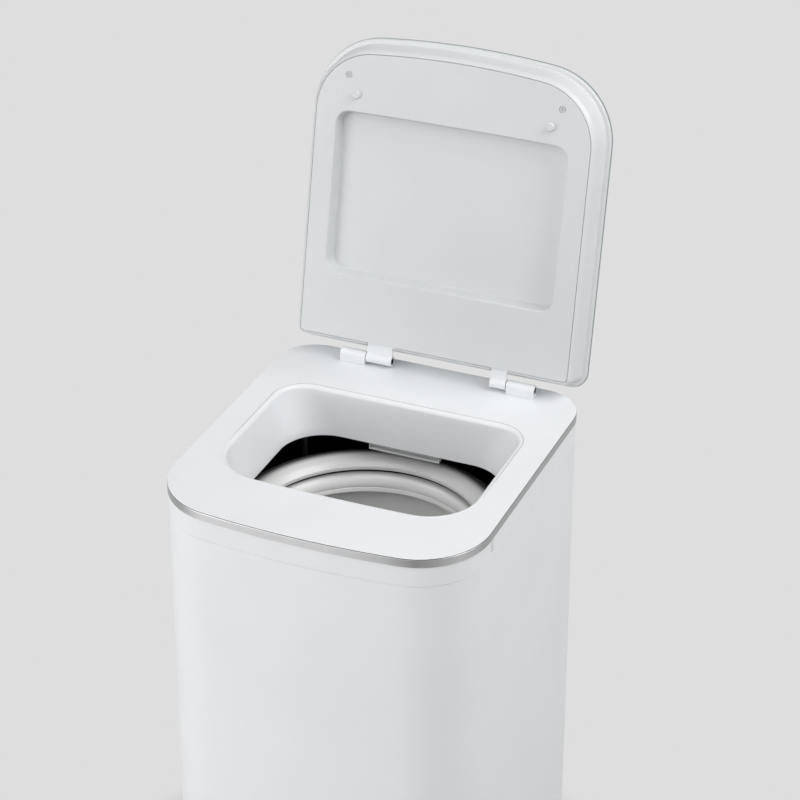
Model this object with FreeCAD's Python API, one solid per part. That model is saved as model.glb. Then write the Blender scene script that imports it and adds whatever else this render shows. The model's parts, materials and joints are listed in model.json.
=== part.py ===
import FreeCAD, Part
import math
import os

V = FreeCAD.Vector

# Millimetres. X to the right, Y to the back, Z up from the floor. The drum turns about the Z axis.

# Cabinet outline from above: straight sides and back, front bowed outwards
BODY_WIDTH = 420.0
BODY_FRONT = -203.0
BODY_BACK = 246.5
FRONT_BOW_RADIUS = 1156.0
FRONT_CORNER_RADIUS = 93.0
REAR_CORNER_RADIUS = 56.0
BODY_MIDDLE = (BODY_FRONT + BODY_BACK) / 2

# Levels of the cabinet, from the floor up
FOOT_HEIGHT = 16.0
TRAY_SKIRT = 30.0
DECK_HEIGHT = 745.0
DECK_EDGE = 1.5
TRIM_HEIGHT = 10.5
COLLAR_HEIGHT = 28.3
SHELL_BOTTOM = FOOT_HEIGHT + TRAY_SKIRT
TRIM_TOP = DECK_HEIGHT - DECK_EDGE
TRIM_BOTTOM = TRIM_TOP - TRIM_HEIGHT
SEAM = TRIM_BOTTOM - COLLAR_HEIGHT

# How far each outer wall stands in from the outline, and how thick it is
DECK_INSET = 0.4
COLLAR_INSET = 0.8
SHELL_INSET = 1.2
TRIM_WALL = 2.0
COLLAR_WALL = 3.0
SHELL_WALL = 1.2
LIP_WALL = 2.4
LAP_LENGTH = 16.0
LAP_CLEARANCE = 0.2
SEAM_GROOVE = 1.2
SEAM_GROOVE_DEPTH = 0.8

# Deck and its funnel, from the mouth down to the throat: margins are from the cabinet's outline
DECK_WALL = 3.0
FUNNEL_WALL = 2.5
MOUTH_SIDE_MARGIN = 43.2
MOUTH_FRONT_MARGIN = 101.3
MOUTH_BACK_MARGIN = 109.5
MOUTH_HALF = BODY_WIDTH / 2 - MOUTH_SIDE_MARGIN
MOUTH_FRONT = BODY_FRONT + MOUTH_FRONT_MARGIN
MOUTH_BACK = BODY_BACK - MOUTH_BACK_MARGIN
MOUTH_FRONT_RADIUS = 64.5
MOUTH_REAR_RADIUS = 39.0
MOUTH_BOW_RADIUS = 2900.0
MOUTH_ROUND = 6.0
FUNNEL_SLOPE = 78.0
FUNNEL_LEAN = 15.0
FUNNEL_BACK_LEAN = 1.0
THROAT_HALF = MOUTH_HALF - FUNNEL_LEAN
THROAT_FRONT = MOUTH_FRONT + FUNNEL_LEAN
THROAT_BACK = MOUTH_BACK - FUNNEL_BACK_LEAN
THROAT_RADIUS = 60.0
THROAT_DROP = 60.0
THROAT_LIP = 7.5
ROUND_STEPS = 4

# Base tray and feet
TRAY_WALL = 3.0
TRAY_FLOOR = 3.0
TRAY_RIB_HEIGHT = 20.0
TRAY_RIB_COUNT = 5
TRAY_RIB_PITCH = 62.0
FOOT_RADIUS = 22.0
FOOT_NECK_RADIUS = 16.0
FOOT_STEM_RADIUS = 5.0
FOOT_STEM_HEIGHT = 10.0
FOOT_SOLE = 5.0
FOOT_CHAMFER = 2.0
FOOT_MARGIN = 58.0
FIT_CLEARANCE = 0.05

# Rear service panel
SERVICE_MARGIN = 90.0
SERVICE_HALF = BODY_WIDTH / 2 - SERVICE_MARGIN
SERVICE_BOTTOM = 130.0
SERVICE_TOP = 560.0
SERVICE_RADIUS = 14.0
PANEL_LAP = 14.0
LOUVRE_COUNT = 8
LOUVRE_PITCH = 16.0
LOUVRE_LENGTH = 110.0
LOUVRE_HEIGHT = 6.0
PANEL_SCREW_HEAD_RADIUS = 4.5
PANEL_SCREW_HEAD = 2.0
PANEL_SCREW_RADIUS = 2.0

# Screw caps on the collar's sides
CAP_WIDTH = 8.0
CAP_HEIGHT = 17.0
CAP_DROP = 10.0
CAP_Y = -96.5
CAP_PROUD = 0.6
CAP_DEPTH = 1.6

# Lid, drawn closed: reach is measured forwards from the hinge axis, height upwards from it
HINGE_INSET = 26.0
HINGE_Y = BODY_BACK - HINGE_INSET
HINGE_RISE = 10.5
HINGE_Z = DECK_HEIGHT + HINGE_RISE
LID_OPEN = 102.0
LID_INSET = 5.5
LID_OVERHANG = 2.5
LID_WIDTH = BODY_WIDTH - 2 * LID_INSET
LID_REACH = HINGE_Y - BODY_FRONT + LID_OVERHANG
LID_BACK = 4.0
LID_FRONT_RADIUS = 96.0
LID_REAR_RADIUS = 22.0
LID_GAP = 5.0
FRAME_HEIGHT = 37.0
GLASS_THICKNESS = 4.0
LID_BOTTOM = LID_GAP - HINGE_RISE
GLASS_BOTTOM = LID_BOTTOM + FRAME_HEIGHT
BEAD_INSET = 0.8
BEAD_HEIGHT = 4.0
BEZEL_STEP = 6.0
BEZEL_STEP_HEIGHT = 1.0
BEZEL_WALL = 2.5
BEZEL_FLANGE = 8.0
BEZEL_KNEE = 11.0
BEZEL_KNEE_HEIGHT = 6.0
BEZEL_TOE = 14.0
BEZEL_TOE_HEIGHT = 1.4
PANEL_INSET = 16.0
PANEL_WALL = 2.5
PANEL_GAP = 0.2
WINDOW_SIDE_MARGIN = 45.5
WINDOW_FRONT_MARGIN = 99.0
WINDOW_HALF = LID_WIDTH / 2 - WINDOW_SIDE_MARGIN
WINDOW_REACH = LID_REACH - WINDOW_FRONT_MARGIN
WINDOW_BACK = 108.0
WINDOW_RADIUS = 18.5
WINDOW_BOW_RADIUS = 8000.0
WINDOW_DEPTH = 17.0
WINDOW_DRAFT = 4.0
WINDOW_ROUND = 3.0
WINDOW_WALL = 2.0
LID_SCREW_SIDE_MARGIN = 58.5
LID_SCREW_FRONT_MARGIN = 52.5
LID_SCREW_X = LID_WIDTH / 2 - LID_SCREW_SIDE_MARGIN
LID_SCREW_REACH = LID_REACH - LID_SCREW_FRONT_MARGIN
LID_SCREW_RADIUS = 2.0
LID_SCREW_HEAD_RADIUS = 4.0
LID_SCREW_HEAD = 1.2
LID_BOSS_RADIUS = 5.0
LID_BOSS_HEIGHT = 8.0
BUMPER_SIDE_MARGIN = 71.5
BUMPER_FRONT_MARGIN = 77.0
BUMPER_X = LID_WIDTH / 2 - BUMPER_SIDE_MARGIN
BUMPER_REACH = LID_REACH - BUMPER_FRONT_MARGIN
BUMPER_RADIUS = 5.5
BUMPER_CLEARANCE = 0.2
MAGNET_SIDE_MARGIN = 104.5
MAGNET_FRONT_MARGIN = 40.0
MAGNET_X = LID_WIDTH / 2 - MAGNET_SIDE_MARGIN
MAGNET_REACH = LID_REACH - MAGNET_FRONT_MARGIN
MAGNET_LENGTH = 20.0
MAGNET_WIDTH = 10.0
MAGNET_HEIGHT = 5.0

# Hinges: the base knuckle of each stands on the deck, the other knuckle belongs to the lid's arm
KNUCKLE_RADIUS = 7.0
KNUCKLE_GAP = 1.0
PIN_RADIUS = 2.5
LEFT_BASE_START = -128.0
LEFT_BASE_LENGTH = 36.0
LEFT_ARM_LENGTH = 36.0
RIGHT_ARM_START = 84.0
RIGHT_ARM_LENGTH = 22.0
RIGHT_BASE_LENGTH = 38.5
ARM_THICKNESS = 3.0
ARM_REACH = 45.0
NOTCH_CLEARANCE = 0.4

# Control tray, lid switch and water inlet under the deck
CONTROL_X = -30.0
CONTROL_WIDTH = BODY_WIDTH / 2
CONTROL_MARGIN = 17.0
CONTROL_FRONT = BODY_FRONT + CONTROL_MARGIN
CONTROL_DEPTH = 56.0
CONTROL_HEIGHT = 28.0
CONTROL_WALL = 2.0
BOARD_MARGIN = 6.0
BOARD_THICKNESS = 1.6
BOARD_STANDOFF = 6.0
BOARD_POST_RADIUS = 4.0
SWITCH_LENGTH = 24.0
SWITCH_WIDTH = 12.0
SWITCH_HEIGHT = 10.0
INLET_X = 30.0
SPUD_RADIUS = 13.2
SPUD_LENGTH = 15.0
SPUD_NECK_RADIUS = 11.0
SPUD_BORE = 8.5
VALVE_WIDTH = 44.0
VALVE_DEPTH = 40.0
VALVE_HEIGHT = 20.0
VALVE_MARGIN = 3.0
SPOUT_LEFT = -54.0
SPOUT_RIGHT = 45.0
SPOUT_GAP = 1.0
SPOUT_HEIGHT = 8.0
SPOUT_SLOPE = 8.0
SPOUT_WALL = 1.5

# Suspension
ROD_OFFSET = 152.0
ROD_RADIUS = 4.0
ROD_HEAD_RADIUS = 10.0
ROD_HEAD = 8.0
SHELF_THICKNESS = 8.0
SHELF_MARGIN = 17.0
ROD_HOLE_CLEARANCE = 0.6
CUP_RADIUS = 17.0
CUP_HEIGHT = 60.0
CUP_FLOOR = 8.0
CUP_SPARE = 12.0
CUP_TAPER = 3.0
CUP_TAPER_HEIGHT = 6.0
LUG_BOTTOM = 262.0
LUG_THICKNESS = 12.0
LUG_WIDTH = 38.0
LUG_HOLE_CLEARANCE = 2.0

# Tub
TUB_RADIUS = 186.0
TUB_WALL = 3.5
TUB_BOTTOM = 190.0
TUB_DROP = 111.0
TUB_TOP = DECK_HEIGHT - TUB_DROP
TUB_FLOOR = 5.0
TUB_RIB_COUNT = 8
TUB_RIB_HEIGHT = 14.0
TUB_RIB_THICKNESS = 4.0
TUB_RIB_START = 60.0
TUB_RIB_END = 170.0
TUB_BAND_HEIGHT = 8.0
TUB_BAND_PROUD = 3.0
TUB_BAND_LEVELS = (360.0, 480.0)
SUMP_X = -90.0
SUMP_Y = 110.0
SUMP_RADIUS = 16.0
SUMP_LENGTH = 32.0
SUMP_WALL = 2.5
RING_WALL = 2.5
RING_SKIRT = 16.0
RING_CREST = 17.0
RING_SHOULDER = 8.0
RING_INNER_RADIUS = 148.0
RING_INNER_RISE = 6.5
RING_LIP = 5.0
SEAL_RADIUS = 24.0
SEAL_HEIGHT = 8.0

# Drum
DRUM_RADIUS = 165.0
DRUM_WALL = 0.8
DRUM_BOTTOM = 236.0
DRUM_DROP = 38.0
DRUM_TOP = TUB_TOP - DRUM_DROP
DRUM_FLOOR = 10.0
BALANCE_DROP = 3.0
BALANCE_TOP = TUB_TOP - BALANCE_DROP
BALANCE_RADIUS = 168.0
BALANCE_SHOULDER = 152.0
BALANCE_LIP_RADIUS = 143.0
BALANCE_LIP_DROP = 20.0
BALANCE_DEPTH = 12.0
BALANCE_LIP_HEIGHT = 6.0
BALANCE_PLUG = 4.0

# Drive: clutch, shafts, pulleys, belt and motor
PLATE_THICKNESS = 3.0
PLATE_MARGIN = 6.0
PLATE_HALF = 90.0
PLATE_BACK = 100.0
PLATE_RADIUS = 30.0
CLUTCH_BOSS_RADIUS = 26.0
CLUTCH_FLANGE_RADIUS = 55.0
CLUTCH_FLANGE = 5.0
CLUTCH_RADIUS = 45.0
CLUTCH_NECK_RADIUS = 24.0
CLUTCH_BOTTOM = 108.0
CLUTCH_NECK = 8.0
SPIN_TUBE_RADIUS = 14.0
SPIN_FLANGE_RADIUS = 40.0
SPIN_FLANGE = 4.0
SHAFT_RADIUS = 8.0
SHAFT_BOTTOM = 70.0
PULLEY_RADIUS = 65.0
PULLEY_BOTTOM = 78.0
PULLEY_HEIGHT = 14.0
PULLEY_HUB_RADIUS = 18.0
PULLEY_WEB = 5.0
PULLEY_WINDOW_RADIUS = 11.0
PULLEY_WINDOW_COUNT = 6
PULLEY_WINDOW_CIRCLE = 38.0
GROOVE_DEPTH = 4.0
GROOVE_WIDTH = 11.0
NUT_RADIUS = 12.0
NUT_HEIGHT = 7.0
BELT_THICKNESS = 4.0
BELT_WIDTH = 10.0
BELT_CLEARANCE = 0.3
MOTOR_Y = -118.0
MOTOR_RADIUS = 52.0
MOTOR_FLANGE_RADIUS = 58.0
MOTOR_FLANGE = 8.0
MOTOR_BOTTOM = 100.0
MOTOR_END_RADIUS = 34.0
MOTOR_END = 10.0
MOTOR_SHAFT_RADIUS = 6.0
MOTOR_PULLEY_RADIUS = 20.0

# Pulsator
PULSATOR_RADIUS = 148.0
PULSATOR_GAP = 4.0
PULSATOR_RIM = 8.0
PULSATOR_CROWN = 46.0
PULSATOR_HUB_RADIUS = 30.0
VANE_COUNT = 4
VANE_START = 22.0
VANE_END = 140.0
VANE_BASE = 34.0
VANE_TIP = 10.0
VANE_HEIGHT = 26.0
CAP_RADIUS = 15.0
CAP_RISE = 5.0

# Drain and power entry
PUMP_SIDE_MARGIN = 105.0
PUMP_X = PUMP_SIDE_MARGIN - BODY_WIDTH / 2
PUMP_BACK_MARGIN = 85.0
PUMP_Y = BODY_BACK - PUMP_BACK_MARGIN
PUMP_RADIUS = 30.0
PUMP_HEIGHT = 62.0
PUMP_MOTOR_RADIUS = 22.0
PUMP_VOLUTE = 32.0
SPIGOT_Z = 68.0
SPIGOT_RADIUS = 15.0
SPIGOT_WALL = 2.5
SPIGOT_PROUD = 16.0
SPIGOT_FLANGE_RADIUS = 21.0
SPIGOT_FLANGE = 2.5
GLAND_MARGIN = 70.0
GLAND_X = BODY_WIDTH / 2 - GLAND_MARGIN
GLAND_Z = 90.0
GLAND_RADIUS = 11.0
GLAND_FLANGE_RADIUS = 15.0
GLAND_FLANGE = 4.0
GLAND_LENGTH = 12.0
GLAND_BORE = 4.0


def closed_outline(half, front, back, r_front, r_rear, bow, z):
    """Closed outline at height z: straight sides and back, and a front edge on an arc of radius bow."""
    bow_y = front + bow
    corner = V(half - r_front, bow_y - math.sqrt((bow - r_front) ** 2 - (half - r_front) ** 2), z)
    bow_centre = V(0, bow_y, z)
    meet = bow_centre + (corner - bow_centre) * (bow / (bow - r_front))
    middle = corner + ((meet - corner).normalize() + V(1, 0, 0)).normalize() * r_front
    rear = V(half - r_rear, back - r_rear, z)
    diagonal = r_rear * math.sqrt(0.5)

    def left(point):
        return V(-point.x, point.y, point.z)

    side = V(half, corner.y, z)
    side_end = V(half, rear.y, z)
    rear_middle = rear + V(diagonal, diagonal, 0)
    rear_end = V(rear.x, back, z)
    edges = [
        Part.Arc(left(meet), V(0, front, z), meet),
        Part.Arc(meet, middle, side),
        Part.LineSegment(side, side_end),
        Part.Arc(side_end, rear_middle, rear_end),
        Part.LineSegment(rear_end, left(rear_end)),
        Part.Arc(left(rear_end), left(rear_middle), left(side_end)),
        Part.LineSegment(left(side_end), left(side)),
        Part.Arc(left(side), left(middle), left(meet)),
    ]
    return Part.Wire([edge.toShape() for edge in edges])


def body_outline(inset, z):
    """The cabinet's outline, moved in by inset."""
    return closed_outline(BODY_WIDTH / 2 - inset, BODY_FRONT + inset, BODY_BACK - inset,
                          FRONT_CORNER_RADIUS - inset, REAR_CORNER_RADIUS - inset,
                          FRONT_BOW_RADIUS - inset, z)


def funnel_outline(share, inset, z):
    """The funnel's outline: share 0 is the mouth, 1 is the throat."""
    def between(mouth, throat):
        return mouth + (throat - mouth) * share

    return closed_outline(between(MOUTH_HALF, THROAT_HALF) - inset,
                          between(MOUTH_FRONT, THROAT_FRONT) + inset,
                          between(MOUTH_BACK, THROAT_BACK) - inset,
                          between(MOUTH_FRONT_RADIUS, THROAT_RADIUS) - inset,
                          between(MOUTH_REAR_RADIUS, THROAT_RADIUS) - inset,
                          MOUTH_BOW_RADIUS - inset, z)


def lid_outline(inset, height):
    """The closed lid's outline at a height above the hinge axis."""
    return closed_outline(LID_WIDTH / 2 - inset, HINGE_Y - LID_REACH + inset, HINGE_Y - LID_BACK - inset,
                          LID_FRONT_RADIUS - inset, LID_REAR_RADIUS - inset,
                          FRONT_BOW_RADIUS - inset, HINGE_Z + height)


def window_outline(inset, height):
    """Outline of the sunk field in the lid's inner panel."""
    return closed_outline(WINDOW_HALF - inset, HINGE_Y - WINDOW_REACH + inset, HINGE_Y - WINDOW_BACK - inset,
                          WINDOW_RADIUS - inset, WINDOW_RADIUS - inset,
                          WINDOW_BOW_RADIUS - inset, HINGE_Z + height)


def slab(outline, inset, bottom, top):
    """Straight solid inside an outline, between two heights."""
    wire = outline(inset, bottom)
    height = outline(inset, top).BoundBox.ZMin - wire.BoundBox.ZMin
    return Part.Face(wire).extrude(V(0, 0, height))


def wall(outline, outer, inner, bottom, top):
    """Upright wall between two insets of an outline."""
    return slab(outline, outer, bottom, top).cut(slab(outline, inner, bottom, top))


def stack(sections):
    """Solid through a stack of outlines, straight from each to the next."""
    return Part.makeLoft(sections, True, True)


def turned(start, *steps):
    """Solid of revolution about Z. A step is a point (r, z), or a middle and an end point of an arc."""
    def at(r, z):
        return V(r, 0, z)

    edges = []
    last = at(*start)
    for step in steps + (start,):
        end = at(*step[-2:])
        if len(step) == 4:
            edges.append(Part.Arc(last, at(*step[:2]), end).toShape())
        elif last.distanceToPoint(end) > 0:
            edges.append(Part.LineSegment(last, end).toShape())
        last = end
    return Part.Face(Part.Wire(edges)).revolve(V(0, 0, 0), V(0, 0, 1), 360)


def rod(radius, bottom, top, x=0.0, y=0.0):
    """Upright cylinder."""
    return Part.makeCylinder(radius, top - bottom, V(x, y, bottom))


def sleeve(outer, inner, bottom, top, x=0.0, y=0.0):
    """Upright tube."""
    return rod(outer, bottom, top, x, y).cut(rod(inner, bottom, top, x, y))


def across(radius, start, length, y, z):
    """Cylinder lying along X."""
    return Part.makeCylinder(radius, length, V(start, y, z), V(1, 0, 0))


def backwards(radius, start, end, x, z):
    """Cylinder pointing along Y."""
    return Part.makeCylinder(radius, end - start, V(x, start, z), V(0, 1, 0))


def block(x0, x1, y0, y1, z0, z1):
    """Upright box between two corners."""
    return Part.makeBox(x1 - x0, y1 - y0, z1 - z0, V(x0, y0, z0))


def around(shape, count):
    """Copies of a shape, evenly spaced about Z."""
    copies = []
    for index in range(count):
        copy = shape.copy()
        copy.rotate(V(0, 0, 0), V(0, 0, 1), 360.0 * index / count)
        copies.append(copy)
    return copies


def in_lid(x0, x1, reach0, reach1, low, high):
    """Box in the closed lid: reach forwards and height upwards from the hinge axis."""
    return block(x0, x1, HINGE_Y - reach1, HINGE_Y - reach0, HINGE_Z + low, HINGE_Z + high)


def lid_disc(radius, x, reach, low, high):
    """Upright cylinder in the closed lid."""
    return rod(radius, HINGE_Z + low, HINGE_Z + high, x, HINGE_Y - reach)


def opened(shape):
    """A piece of the closed lid, swung up to where the lid stands open."""
    copy = shape.copy()
    copy.rotate(V(0, HINGE_Y, HINGE_Z), V(1, 0, 0), -LID_OPEN)
    return copy


def both_sides(make):
    """The same piece to the left and to the right."""
    return [make(-1), make(1)]


REAR_FACE = BODY_BACK - SHELL_INSET
INLET_Z = (SEAM + TRIM_BOTTOM) / 2
SHELF_BOTTOM = SEAM - LAP_LENGTH
SHELF_TOP = SHELF_BOTTOM + SHELF_THICKNESS
LIP_INSET = SHELL_INSET + SHELL_WALL + LAP_CLEARANCE
ROD_CORNERS = {"front_left": (-1, -1), "front_right": (1, -1), "rear_left": (-1, 1), "rear_right": (1, 1)}
PANEL_TOP = LID_BOTTOM + PANEL_WALL
PLATE_TOP = TUB_BOTTOM - TUB_RIB_HEIGHT
PLATE_BOTTOM = PLATE_TOP - PLATE_THICKNESS
PULSATOR_BOTTOM = DRUM_BOTTOM + DRUM_FLOOR + PULSATOR_GAP
PULSATOR_TOP = PULSATOR_BOTTOM + PULSATOR_CROWN
BELT_MIDDLE = PULLEY_BOTTOM + PULLEY_HEIGHT / 2


def service_rectangle(grow, depth):
    """Rounded rectangle of the rear opening, grown by grow, running depth forwards from the rear face."""
    half = SERVICE_HALF + grow
    low = SERVICE_BOTTOM - grow
    high = SERVICE_TOP + grow
    round_off = SERVICE_RADIUS
    plate = block(-half, half, REAR_FACE - depth, REAR_FACE, low, high)
    corners = [edge for edge in plate.Edges if abs(edge.tangentAt(edge.FirstParameter).y) > 0.9]
    return plate.makeFillet(round_off, corners)


def cabinet_shell():
    """Folded sheet wrap, with the service opening, drain hole and cord hole in its back."""
    shell = wall(body_outline, SHELL_INSET, SHELL_INSET + SHELL_WALL, SHELL_BOTTOM, SEAM)
    through = REAR_FACE - 2 * SHELL_WALL
    shell = shell.cut(service_rectangle(0, 2 * SHELL_WALL))
    shell = shell.cut(backwards(SPIGOT_RADIUS + LAP_CLEARANCE, through, REAR_FACE, PUMP_X, SPIGOT_Z))
    return shell.cut(backwards(GLAND_RADIUS + LAP_CLEARANCE, through, REAR_FACE, GLAND_X, GLAND_Z))


def panel_screw_places():
    """Screws in the panel's lap, down both long sides."""
    x = SERVICE_HALF + PANEL_LAP / 2
    middle = (SERVICE_BOTTOM + SERVICE_TOP) / 2
    return [(side * x, z) for side in (-1, 1) for z in (SERVICE_BOTTOM, middle, SERVICE_TOP)]


def rear_panel():
    """Louvred plate that covers the service opening from outside."""
    panel = service_rectangle(PANEL_LAP, SHELL_WALL).translated(V(0, SHELL_WALL, 0))
    top = SERVICE_TOP - LOUVRE_PITCH * 2
    for index in range(LOUVRE_COUNT):
        z = top - index * LOUVRE_PITCH
        slot = block(-LOUVRE_LENGTH / 2, LOUVRE_LENGTH / 2, REAR_FACE, REAR_FACE + SHELL_WALL,
                     z - LOUVRE_HEIGHT, z)
        ends = [edge for edge in slot.Edges if abs(edge.tangentAt(edge.FirstParameter).y) > 0.9]
        panel = panel.cut(slot.makeFillet(LOUVRE_HEIGHT * 0.49, ends))
    for x, z in panel_screw_places():
        panel = panel.cut(backwards(PANEL_SCREW_RADIUS + FIT_CLEARANCE, REAR_FACE, BODY_BACK, x, z))
    return panel


def rear_panel_screws():
    """Domed screws that hold the rear panel to the shell."""
    screws = []
    seat = REAR_FACE + SHELL_WALL
    for x, z in panel_screw_places():
        head = backwards(PANEL_SCREW_HEAD_RADIUS, seat, seat + PANEL_SCREW_HEAD, x, z)
        rim = [edge for edge in head.Edges if edge.CenterOfMass.y > seat + PANEL_SCREW_HEAD * 0.9]
        head = head.makeFillet(PANEL_SCREW_HEAD * 0.6, rim)
        screws.append(head.fuse(backwards(PANEL_SCREW_RADIUS, seat - SHELL_WALL, seat, x, z)))
    return Part.makeCompound(screws)


def base_tray():
    """Plinth with a ribbed floor, foot sockets and a lip that the shell slips over."""
    bottom = FOOT_HEIGHT
    floor_top = bottom + TRAY_FLOOR
    inner = SHELL_INSET + TRAY_WALL
    tray = slab(body_outline, SHELL_INSET, bottom, floor_top)
    tray = tray.fuse(wall(body_outline, SHELL_INSET, inner + LIP_WALL, bottom, SHELL_BOTTOM))
    tray = tray.fuse(wall(body_outline, LIP_INSET, inner + LIP_WALL, bottom, SHELL_BOTTOM + LAP_LENGTH))
    inside = slab(body_outline, inner, bottom, SHELL_BOTTOM)
    span = BODY_WIDTH
    ribs = []
    for index in range(TRAY_RIB_COUNT):
        place = (index - (TRAY_RIB_COUNT - 1) / 2) * TRAY_RIB_PITCH
        row = BODY_MIDDLE + place
        ribs.append(block(place - TRAY_WALL / 2, place + TRAY_WALL / 2, -span, span,
                          floor_top, floor_top + TRAY_RIB_HEIGHT))
        ribs.append(block(-span, span, row - TRAY_WALL / 2, row + TRAY_WALL / 2,
                          floor_top, floor_top + TRAY_RIB_HEIGHT))
    room = rod(PUMP_RADIUS + TRAY_WALL, floor_top, floor_top + TRAY_RIB_HEIGHT, PUMP_X, PUMP_Y)
    tray = tray.fuse([rib.common(inside).cut(room) for rib in ribs])
    for x, y in foot_places().values():
        tray = tray.fuse(rod(FOOT_NECK_RADIUS, bottom, bottom + FOOT_STEM_HEIGHT, x, y))
        tray = tray.cut(rod(FOOT_STEM_RADIUS + FIT_CLEARANCE, bottom, bottom + FOOT_STEM_HEIGHT, x, y))
    outlet = backwards(SPIGOT_RADIUS + LAP_CLEARANCE, PUMP_Y, BODY_BACK, PUMP_X, SPIGOT_Z)
    return tray.cut(outlet).removeSplitter()


def foot_places():
    """Where the four feet stand."""
    rows = {"front": BODY_FRONT + FOOT_MARGIN, "rear": BODY_BACK - FOOT_MARGIN}
    sides = {"left": FOOT_MARGIN - BODY_WIDTH / 2, "right": BODY_WIDTH / 2 - FOOT_MARGIN}
    return {row + "_" + side: (x, y) for row, y in rows.items() for side, x in sides.items()}


def foot(x, y):
    """Rubber foot: a splayed pad with a stem that presses into the tray."""
    top = FOOT_HEIGHT + FOOT_STEM_HEIGHT
    pad = turned((0, 0), (FOOT_RADIUS - FOOT_CHAMFER, 0), (FOOT_RADIUS, FOOT_CHAMFER),
                 (FOOT_RADIUS, FOOT_SOLE), (FOOT_NECK_RADIUS, FOOT_HEIGHT), (FOOT_STEM_RADIUS, FOOT_HEIGHT),
                 (FOOT_STEM_RADIUS, top), (0, top))
    return pad.translated(V(x, y, 0))


def cap_profile(side, inner, outer, grow):
    """Upright plug with round ends in a side wall, between two depths from the outline."""
    width = CAP_WIDTH + 2 * grow
    height = CAP_HEIGHT + 2 * grow
    middle = TRIM_BOTTOM - CAP_DROP
    x = BODY_WIDTH / 2
    plug = block(x - inner, x - outer, CAP_Y - width / 2, CAP_Y + width / 2,
                 middle - height / 2, middle + height / 2)
    ends = [edge for edge in plug.Edges if abs(edge.tangentAt(edge.FirstParameter).x) > 0.9]
    plug = plug.makeFillet(width * 0.49, ends)
    if side < 0:
        return plug.mirror(V(0, 0, 0), V(1, 0, 0))
    return plug


def screw_cap(side):
    """Snap-in cover of the screw that holds the collar."""
    return cap_profile(side, COLLAR_INSET + CAP_DEPTH, COLLAR_INSET - CAP_PROUD, 0)


def top_collar():
    """Moulded ring above the seam, with a lip into the shell and a corner shelf for each suspension rod."""
    inner = COLLAR_INSET + COLLAR_WALL
    collar = wall(body_outline, COLLAR_INSET, inner, SEAM, TRIM_BOTTOM)
    groove = wall(body_outline, COLLAR_INSET - SEAM_GROOVE, COLLAR_INSET + SEAM_GROOVE_DEPTH,
                  SEAM, SEAM + SEAM_GROOVE)
    collar = collar.cut(groove)
    collar = collar.fuse(wall(body_outline, LIP_INSET, LIP_INSET + LIP_WALL,
                              SHELF_BOTTOM, SEAM + COLLAR_WALL))
    reach = 2 * ROD_OFFSET - SHELF_MARGIN * math.sqrt(2)
    diamond = Part.makePolygon([V(reach, 0, SHELF_BOTTOM), V(0, reach, SHELF_BOTTOM),
                                V(-reach, 0, SHELF_BOTTOM), V(0, -reach, SHELF_BOTTOM),
                                V(reach, 0, SHELF_BOTTOM)])
    shelf = slab(body_outline, LIP_INSET, SHELF_BOTTOM, SHELF_TOP)
    collar = collar.fuse(shelf.cut(Part.Face(diamond).extrude(V(0, 0, SHELF_THICKNESS))))
    for side_x, side_y in ROD_CORNERS.values():
        hole = rod(ROD_RADIUS + ROD_HOLE_CLEARANCE, SHELF_BOTTOM, SHELF_TOP,
                   side_x * ROD_OFFSET, side_y * ROD_OFFSET)
        collar = collar.cut(hole)
    for pocket in both_sides(lambda side: cap_profile(side, COLLAR_INSET + CAP_DEPTH, 0, LAP_CLEARANCE)):
        collar = collar.cut(pocket)
    spud_hole = backwards(SPUD_NECK_RADIUS + LAP_CLEARANCE, REAR_FACE - 2 * COLLAR_WALL, BODY_BACK,
                          INLET_X, INLET_Z)
    return collar.cut(spud_hole).removeSplitter()


def trim_band():
    """Brushed band between the collar and the deck's edge."""
    return wall(body_outline, 0, TRIM_WALL, TRIM_BOTTOM, TRIM_TOP)


def funnel_void():
    """Space of the mouth: a rounded brim, the sloping funnel and the upright throat."""
    slope = math.radians(FUNNEL_SLOPE)
    tangent = MOUTH_ROUND * math.tan(slope / 2)
    sections = [funnel_outline(0, -tangent, DECK_HEIGHT + DECK_WALL)]
    for step in range(ROUND_STEPS + 1):
        turn = slope * step / ROUND_STEPS
        sections.append(funnel_outline(0, MOUTH_ROUND * math.sin(turn) - tangent,
                                       DECK_HEIGHT - MOUTH_ROUND * (1 - math.cos(turn))))
    throat = DECK_HEIGHT - THROAT_DROP
    sections.append(funnel_outline(1, 0, throat))
    sections.append(funnel_outline(1, 0, throat - THROAT_LIP - FUNNEL_WALL))
    return stack(sections)


def deck():
    """Top cover: flat deck with a rounded edge, a skirt inside the trim and the funnel."""
    under = DECK_HEIGHT - DECK_WALL
    skirt_inset = TRIM_WALL + LAP_CLEARANCE
    throat = DECK_HEIGHT - THROAT_DROP
    cover = stack([body_outline(DECK_INSET, TRIM_TOP), body_outline(DECK_INSET, DECK_HEIGHT - DECK_EDGE / 2),
                   body_outline(DECK_INSET + DECK_EDGE / 2, DECK_HEIGHT)])
    cover = cover.fuse(slab(body_outline, skirt_inset, under, TRIM_TOP))
    cover = cover.fuse(wall(body_outline, skirt_inset, skirt_inset + DECK_WALL, TRIM_BOTTOM, under))
    cover = cover.fuse(stack([funnel_outline(0, -FUNNEL_WALL, under), funnel_outline(1, -FUNNEL_WALL, throat),
                              funnel_outline(1, -FUNNEL_WALL, throat - THROAT_LIP)]))
    return cover.cut(funnel_void()).removeSplitter()


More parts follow.
